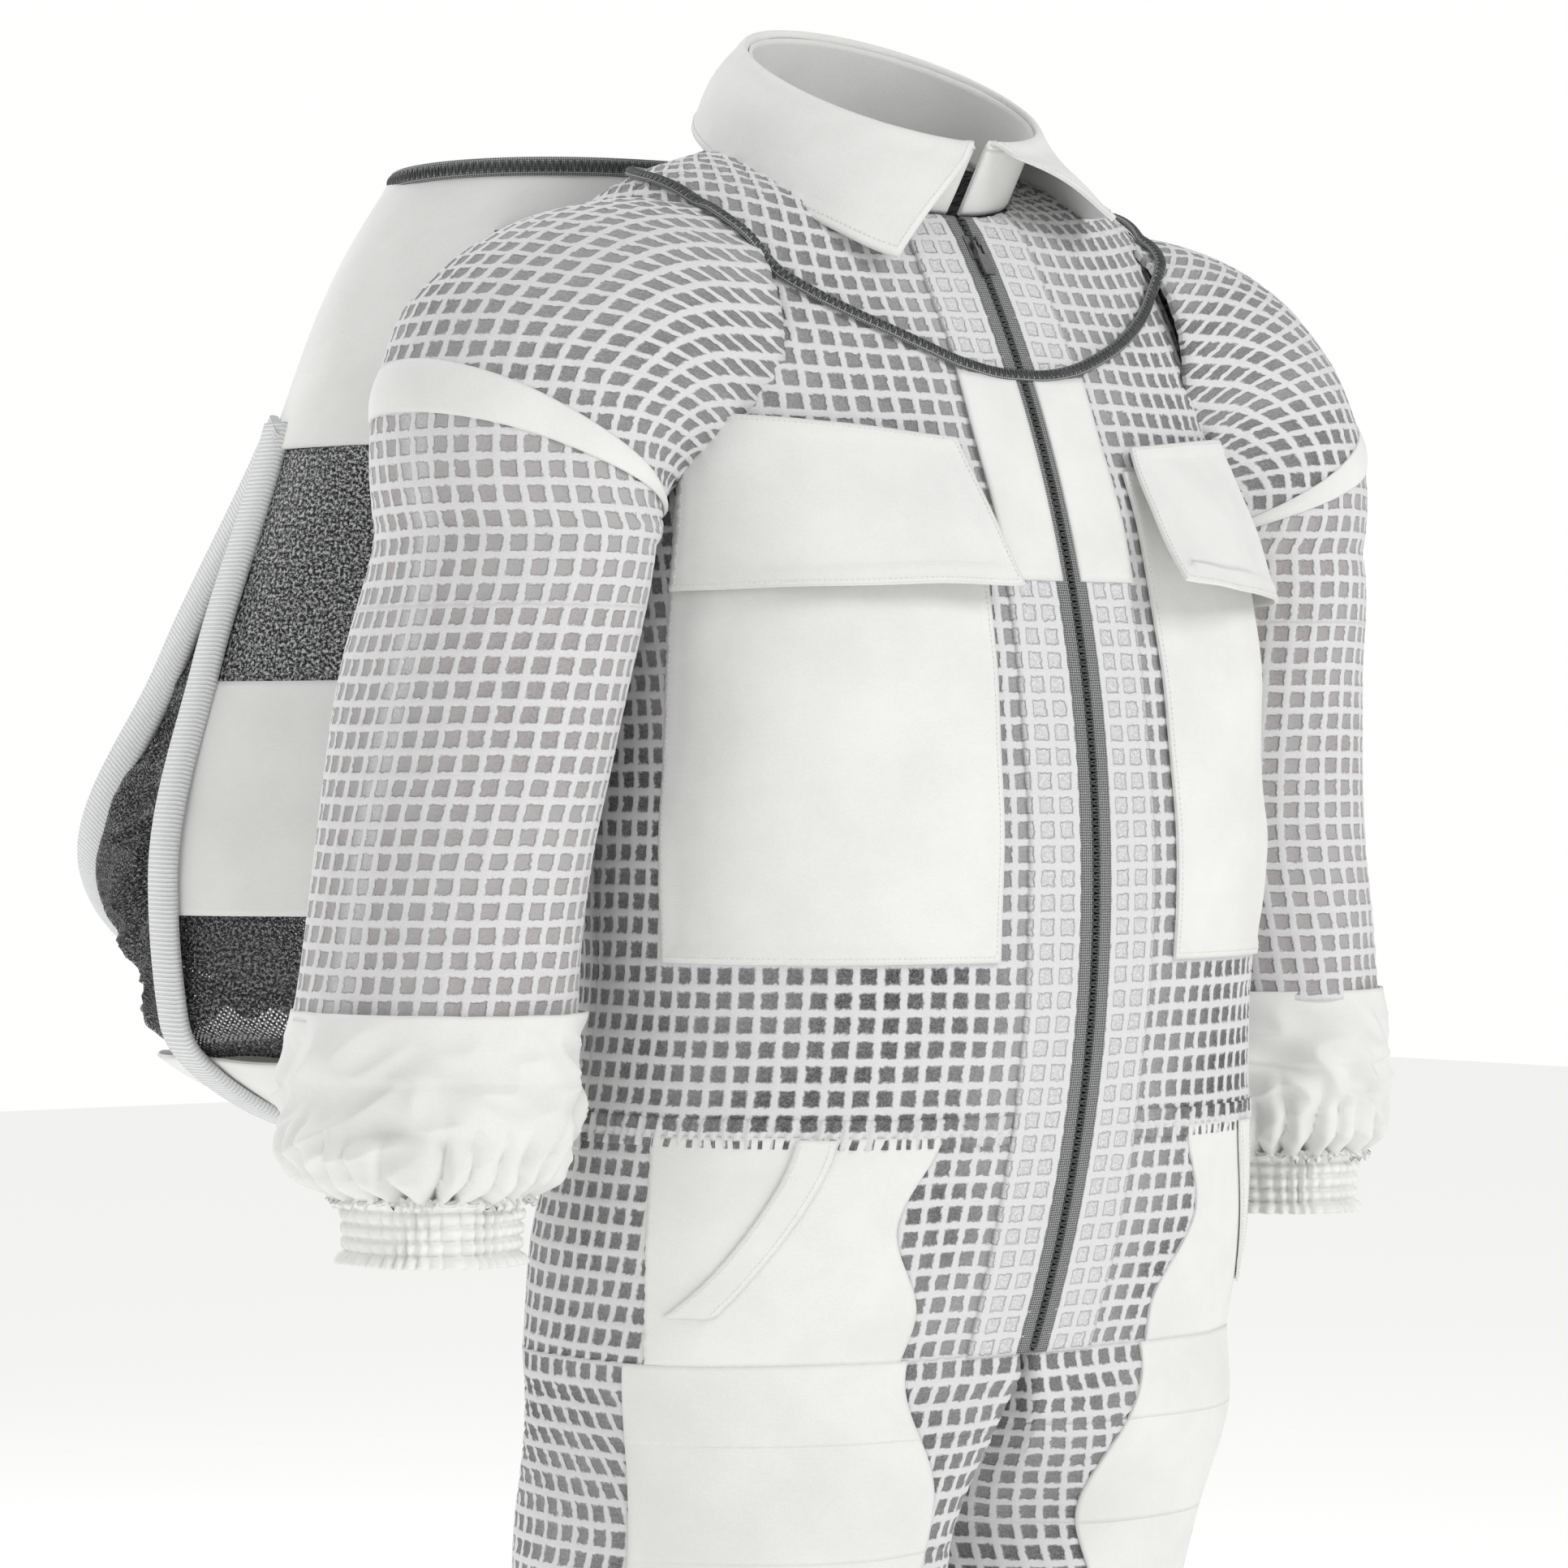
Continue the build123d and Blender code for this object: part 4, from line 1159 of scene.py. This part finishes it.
def build_hood():
    front = lambda z: (-hood_turn(z, HOOP_Y), hood_turn(z, HOOP_Y))
    lean_y = lambda z: HOOP_Y + max(0.0, (HOOP_PIVOT_Z - z)) * HOOP_LEAN
    heights = np.linspace(0.002, -0.182, 40)
    turns = np.linspace(0, 2 * np.pi, 220, endpoint=False)
    skirt = np.array([hood_ring(z, turns) for z in heights])
    skirt = push(skirt, fold(skirt, 8, 31, (1, 1, 0.4)) * 0.007 + fold(skirt, 22, 32, (1, 1, 0.3)) * 0.0022,
                 closed=True)
    piece = make_sheet("hood_skirt", skirt, COTTON, COTTON_THICK, ["hood_skirt"], closed=True)
    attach(piece, "hood")
    soft = lambda grid: push(grid, fold(grid, 10, 33) * 0.004)
    hood_part("hood_window", np.linspace(-0.180, -0.342, 40), front, 150, WINDOW, 0.002,
              ["hood_rear_mesh"], soft, -0.002)
    hood_part("hood_rear_band", np.linspace(-0.340, -0.497, 40), front, 150, COTTON, COTTON_THICK,
              ["hood_rear_band"], soft)
    loose = lambda grid: push(grid, fold(grid, 16, 34) * 0.008 - 0.004)
    hood_part("hood_low_mesh", np.linspace(-0.495, -0.600, 30), front, 150, VEIL, 0.0012, [],
              loose, -0.002)

    def crumple(grid):
        across = np.linspace(0, 1, grid.shape[1])[None] * np.ones((grid.shape[0], 1))
        dip = np.sin(across * np.pi) * step(-grid[..., 2], 0.19, 0.30)
        creases = np.abs(fold(grid, 15, 35, (0.7, 1.2, 1.0))) * 0.055 + np.abs(fold(grid, 34, 36)) * 0.018
        return push(grid, -dip * (0.012 + creases))

    levels = np.linspace(-0.190, -0.600, 90)
    for label, side in SIDES.items():
        def wedge(z, side=side):
            a, b = hood_turn(z, HOOP_Y), hood_turn(z, lean_y(z))
            return (a, b) if side < 0 else (-b, -a)
        hood_part(f"hood_wedge_{label}", levels, wedge, 60, VEIL, 0.0012,
                  ["hood_top_mesh"] if side < 0 else [], crumple)
    reach = max(z for z in np.linspace(-0.40, -0.66,
                                       400) if float(station(HOOD, z)[1] + station(HOOD, z)[3]) <= lean_y(z))
    far = lambda z: (hood_turn(z, lean_y(z)), 2 * np.pi - hood_turn(z, lean_y(z)))
    hood_part("hood_face_veil", np.linspace(-0.182, reach + 0.001, 80), far, 150, VEIL, 0.0012,
              ["hood_face_veil"],
              lambda grid: push(grid, fold(grid, 12, 37) * 0.006 - 0.003))
    crown = [hood_ring(z, turns) for z in np.linspace(-0.596, -0.662, 22)]
    last = crown[-1]
    centre = last.mean(0) + np.array((0, 0, -0.004))
    crown += [centre + (last - centre) * s for s in np.linspace(0.9, 0.03, 14)]
    crown = np.array(crown)
    crown[22:, :, 2] = -0.663 - 0.003 * np.sin(np.linspace(0, np.pi / 2, 14))[:, None]
    crown = push(crown, fold(crown, 12, 38) * 0.005, closed=True)
    piece = make_sheet("hood_crown", crown, COTTON, COTTON_THICK, ["hood_crown"], closed=True)
    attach(piece, "hood")
    build_hoops(lean_y, reach)


def build_hoops(lean_y, reach):
    def half_path(bottom, plane, side):
        found = []
        for z in np.linspace(-0.165, bottom, 150):
            turn = hood_turn(z, plane(z))
            x, y, a, b = (float(v) for v in station(HOOD, z))
            n = np.array((side * math.sin(turn) / a, -math.cos(turn) / b, 0))
            found.append((np.array((x + side * a * math.sin(turn), y - b * math.cos(turn), z)),
                          n / np.linalg.norm(n)))
        return found

    def hoop(name, bottom, plane, node):
        left, right = half_path(bottom, plane, 1), half_path(bottom, plane, -1)
        path = [p for p, _ in right] + [p for p, _ in left[::-1]]
        gap = np.linalg.norm(path[150] - path[149])
        if gap > 0.01:
            count = int(gap / 0.004)
            bridge = [path[149] + (path[150] - path[149]) * s for s in np.linspace(0, 1, count + 2)[1:-1]]
            path = path[:150] + bridge + path[150:]
        path = np.array(path)
        for _ in range(5):
            path[1:-1] = (path[:-2] + 2 * path[1:-1] + path[2:]) / 4
        middle = np.array((path[:, 0].mean(), path[:, 1].mean(), -0.38))
        out = path - middle
        out[:, 1] *= 0.3
        piece = sweep(name, path, out, band_profile(HOOP_HALF + 0.001, 0.0065), HOOP,
                      replaces=[node])
        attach(piece, "hood")

    hoop("hood_hoop_inner", -0.664, lambda z: HOOP_Y, "hood_hoop_inner")
    hoop("hood_hoop_outer", reach, lean_y, "hood_hoop_outer")


# ---------------------------------------------------------------- legs
# height, centre x, centre y, half width, half depth of each leg, in millimetres
LEG = {
    "right": ((-770, 127, -20, 122, 152), (-870, 135, -20, 131, 150), (-930, 137, -20, 130, 146),
              (-1010, 138, -22, 122, 132),
              (-1200, 142, -15, 108, 115), (-1330, 145, -5, 92, 98), (-1368, 146, -2, 64, 68),
              (-1410, 146, -2, 62, 66)),
    "left": ((-770, 127, -12, 122, 150), (-870, 131, 30, 126, 145), (-930, 132, 44, 125, 140),
             (-1010, 133, 48, 118, 128),
             (-1200, 138, 38, 106, 113), (-1330, 142, 22, 92, 98), (-1368, 143, 20, 64, 68),
             (-1410, 143, 20, 62, 66)),
}


def leg_grid(name, heights, turns):
    """Rings of a leg, which starts as half of the body's outline and becomes round below the crotch."""
    side = SIDES[name]
    outline = skin.ring[-1, :-1, :2]
    grid = []
    for z in heights:
        x, y, a, b = (float(v) for v in station(LEG[name], z))
        centre = np.array((side * x, y))
        way = np.stack([-np.sin(turns), -np.cos(turns)], 1)
        round_leg = np.stack([-a * np.sin(turns), -b * np.cos(turns)], 1)
        w = float(step(-z, -CROTCH_Z, -CROTCH_Z + 0.13))
        if w < 1:
            top = np.array((side * 0.127, -0.016))
            spokes = outline - top
            angle = np.arctan2(-spokes[:, 0], -spokes[:, 1])
            order = np.argsort(angle)
            size = np.interp(turns, angle[order], np.linalg.norm(spokes[order], axis=1), period=2 * np.pi)
            inward = -way[:, 0] * side
            size = np.where(inward > 1e-6, np.minimum(size, 0.122 / np.maximum(inward, 1e-6)), size)
            flat = way * size[:, None]
            centre = top * (1 - w) + centre * w
            round_leg = flat * (1 - w) + round_leg * w
        grid.append(np.column_stack([centre + round_leg, np.full(len(turns), z)]))
    return np.array(grid)


def build_legs():
    sections = (("hip_section", -0.770, -0.820, 16), ("thigh", -0.820, -0.890, 20),
                ("knee_section", -0.890, -1.130, 60),
                ("shin", -1.130, -1.368, 60))
    for name, side in SIDES.items():
        seed = 41 if side < 0 else 47
        heights = np.concatenate([np.linspace(top, bottom, rows)[1 if k else 0:] for k,
                                  (_, top, bottom, rows) in enumerate(sections)])
        inner = -math.asin(0.29) + 0.10 * np.sin(heights * 38)
        outer = 1.22 + 0.04 * np.sin(heights * 30)
        drop, ease = step(-heights, 1.22, 1.36)[:, None], step(-heights, 0.77, 0.83)[:, None]
        for kind, cols in (("cotton", 60), ("net", 150)):
            rings = []
            for z, a, b in zip(heights, inner, outer):
                turns = np.linspace(a, b, cols) if kind == "cotton" else np.linspace(b, a + 2 * np.pi, cols)
                rings.append(leg_grid(name, [z], turns if side < 0 else -turns[::-1])[0])
            whole = np.array(rings)
            whole = push(whole,
                         (fold(whole, 8, seed, (1, 1, 0.5)) * 0.008 + fold(whole, 18, seed + 1,
                                                                           (1, 1, 0.6)) * 0.004
                                 + fold(whole, 30, seed + 2, (1, 1, 0.3)) * 0.006 * drop) * ease)
            uv = arc_uv(whole)
            whole = push(whole, (quilt(uv) - 0.5) * 0.0016) if kind == "net" else push(whole,
                                                                                       np.full(whole.shape[:2], 0.0015))
            first = 0
            tucked = push(whole, np.full(whole.shape[:2], -0.0006))
            for part, _, _, rows in sections:
                cut = slice(max(first - 1, 0), first + rows)
                first += rows - 1
                sliced = whole[cut].copy()
                if cut.start:
                    sliced[0] = tucked[cut.start]
                if kind == "net":
                    piece = make_sheet(f"{part}_{name}", sliced, NET, MESH_THICK, [f"{part}_{name}"],
                                       uv[cut],
                                       square_shade=np.full(whole[cut].shape[:2], 0.95))
                else:
                    piece = make_sheet(f"{part}_cotton_{name}", sliced, COTTON, COTTON_THICK,
                                       uv=uv[cut])
                if part == "hip_section":
                    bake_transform(piece)
                elif part == "knee_section":
                    y = -0.02 if side < 0 else 0.046
                    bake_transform(piece)
                else:
                    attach(piece, f"{part}_{name}")
        cols = 240
        t = np.linspace(0, 2 * np.pi, cols, endpoint=False)
        levels = np.linspace(-1.364, -1.4065, 30)
        cuff = leg_grid(name, levels, t)
        share = (levels + 1.364) / -0.0425
        frill = np.exp(-((share - 0.05) / 0.10) ** 2) + np.exp(-((share - 0.97) / 0.10) ** 2)
        ridge = np.abs(np.sin(t[None] * 22 + fold(np.stack([np.cos(t), np.sin(t), t * 0], 1), 2,
                                                  seed)[None] * 2)) * 0.0034
        cuff = push(cuff, ridge + 0.004 * frill[:, None], closed=True)
        piece = make_sheet(f"ankle_cuff_{name}", cuff, ELASTIC, 0.003, [f"ankle_cuff_{name}"],
                           closed=True)
        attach(piece, f"shin_{name}")
    x, y = np.meshgrid(np.linspace(-0.058, 0.058, 20), np.linspace(0.15, -0.15, 40))
    grid = np.stack([x, y, -0.7685 + 0.004 * np.cos(x / 0.058 * 1.4)], 2)
    piece = make_sheet("crotch_gusset", grid, NET, 0.002, ["crotch_gusset"], flip=True)
    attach(piece, "coverall")


def paint_kept():
    """Materials for the CAD nodes that stay as they are."""
    for label, material in (("front_zip_slider", METAL), ("front_zip_pull", METAL), ("touch_tape_tab", TOUCH),
                            ("nape_zip_join", TEETH)):
        for slot in nodes[label].material_slots:
            slot.material = material


set_stage()
build_panels()
build_sleeves()
build_pockets()
build_collar()
build_zips()
build_hood()
build_legs()
paint_kept()
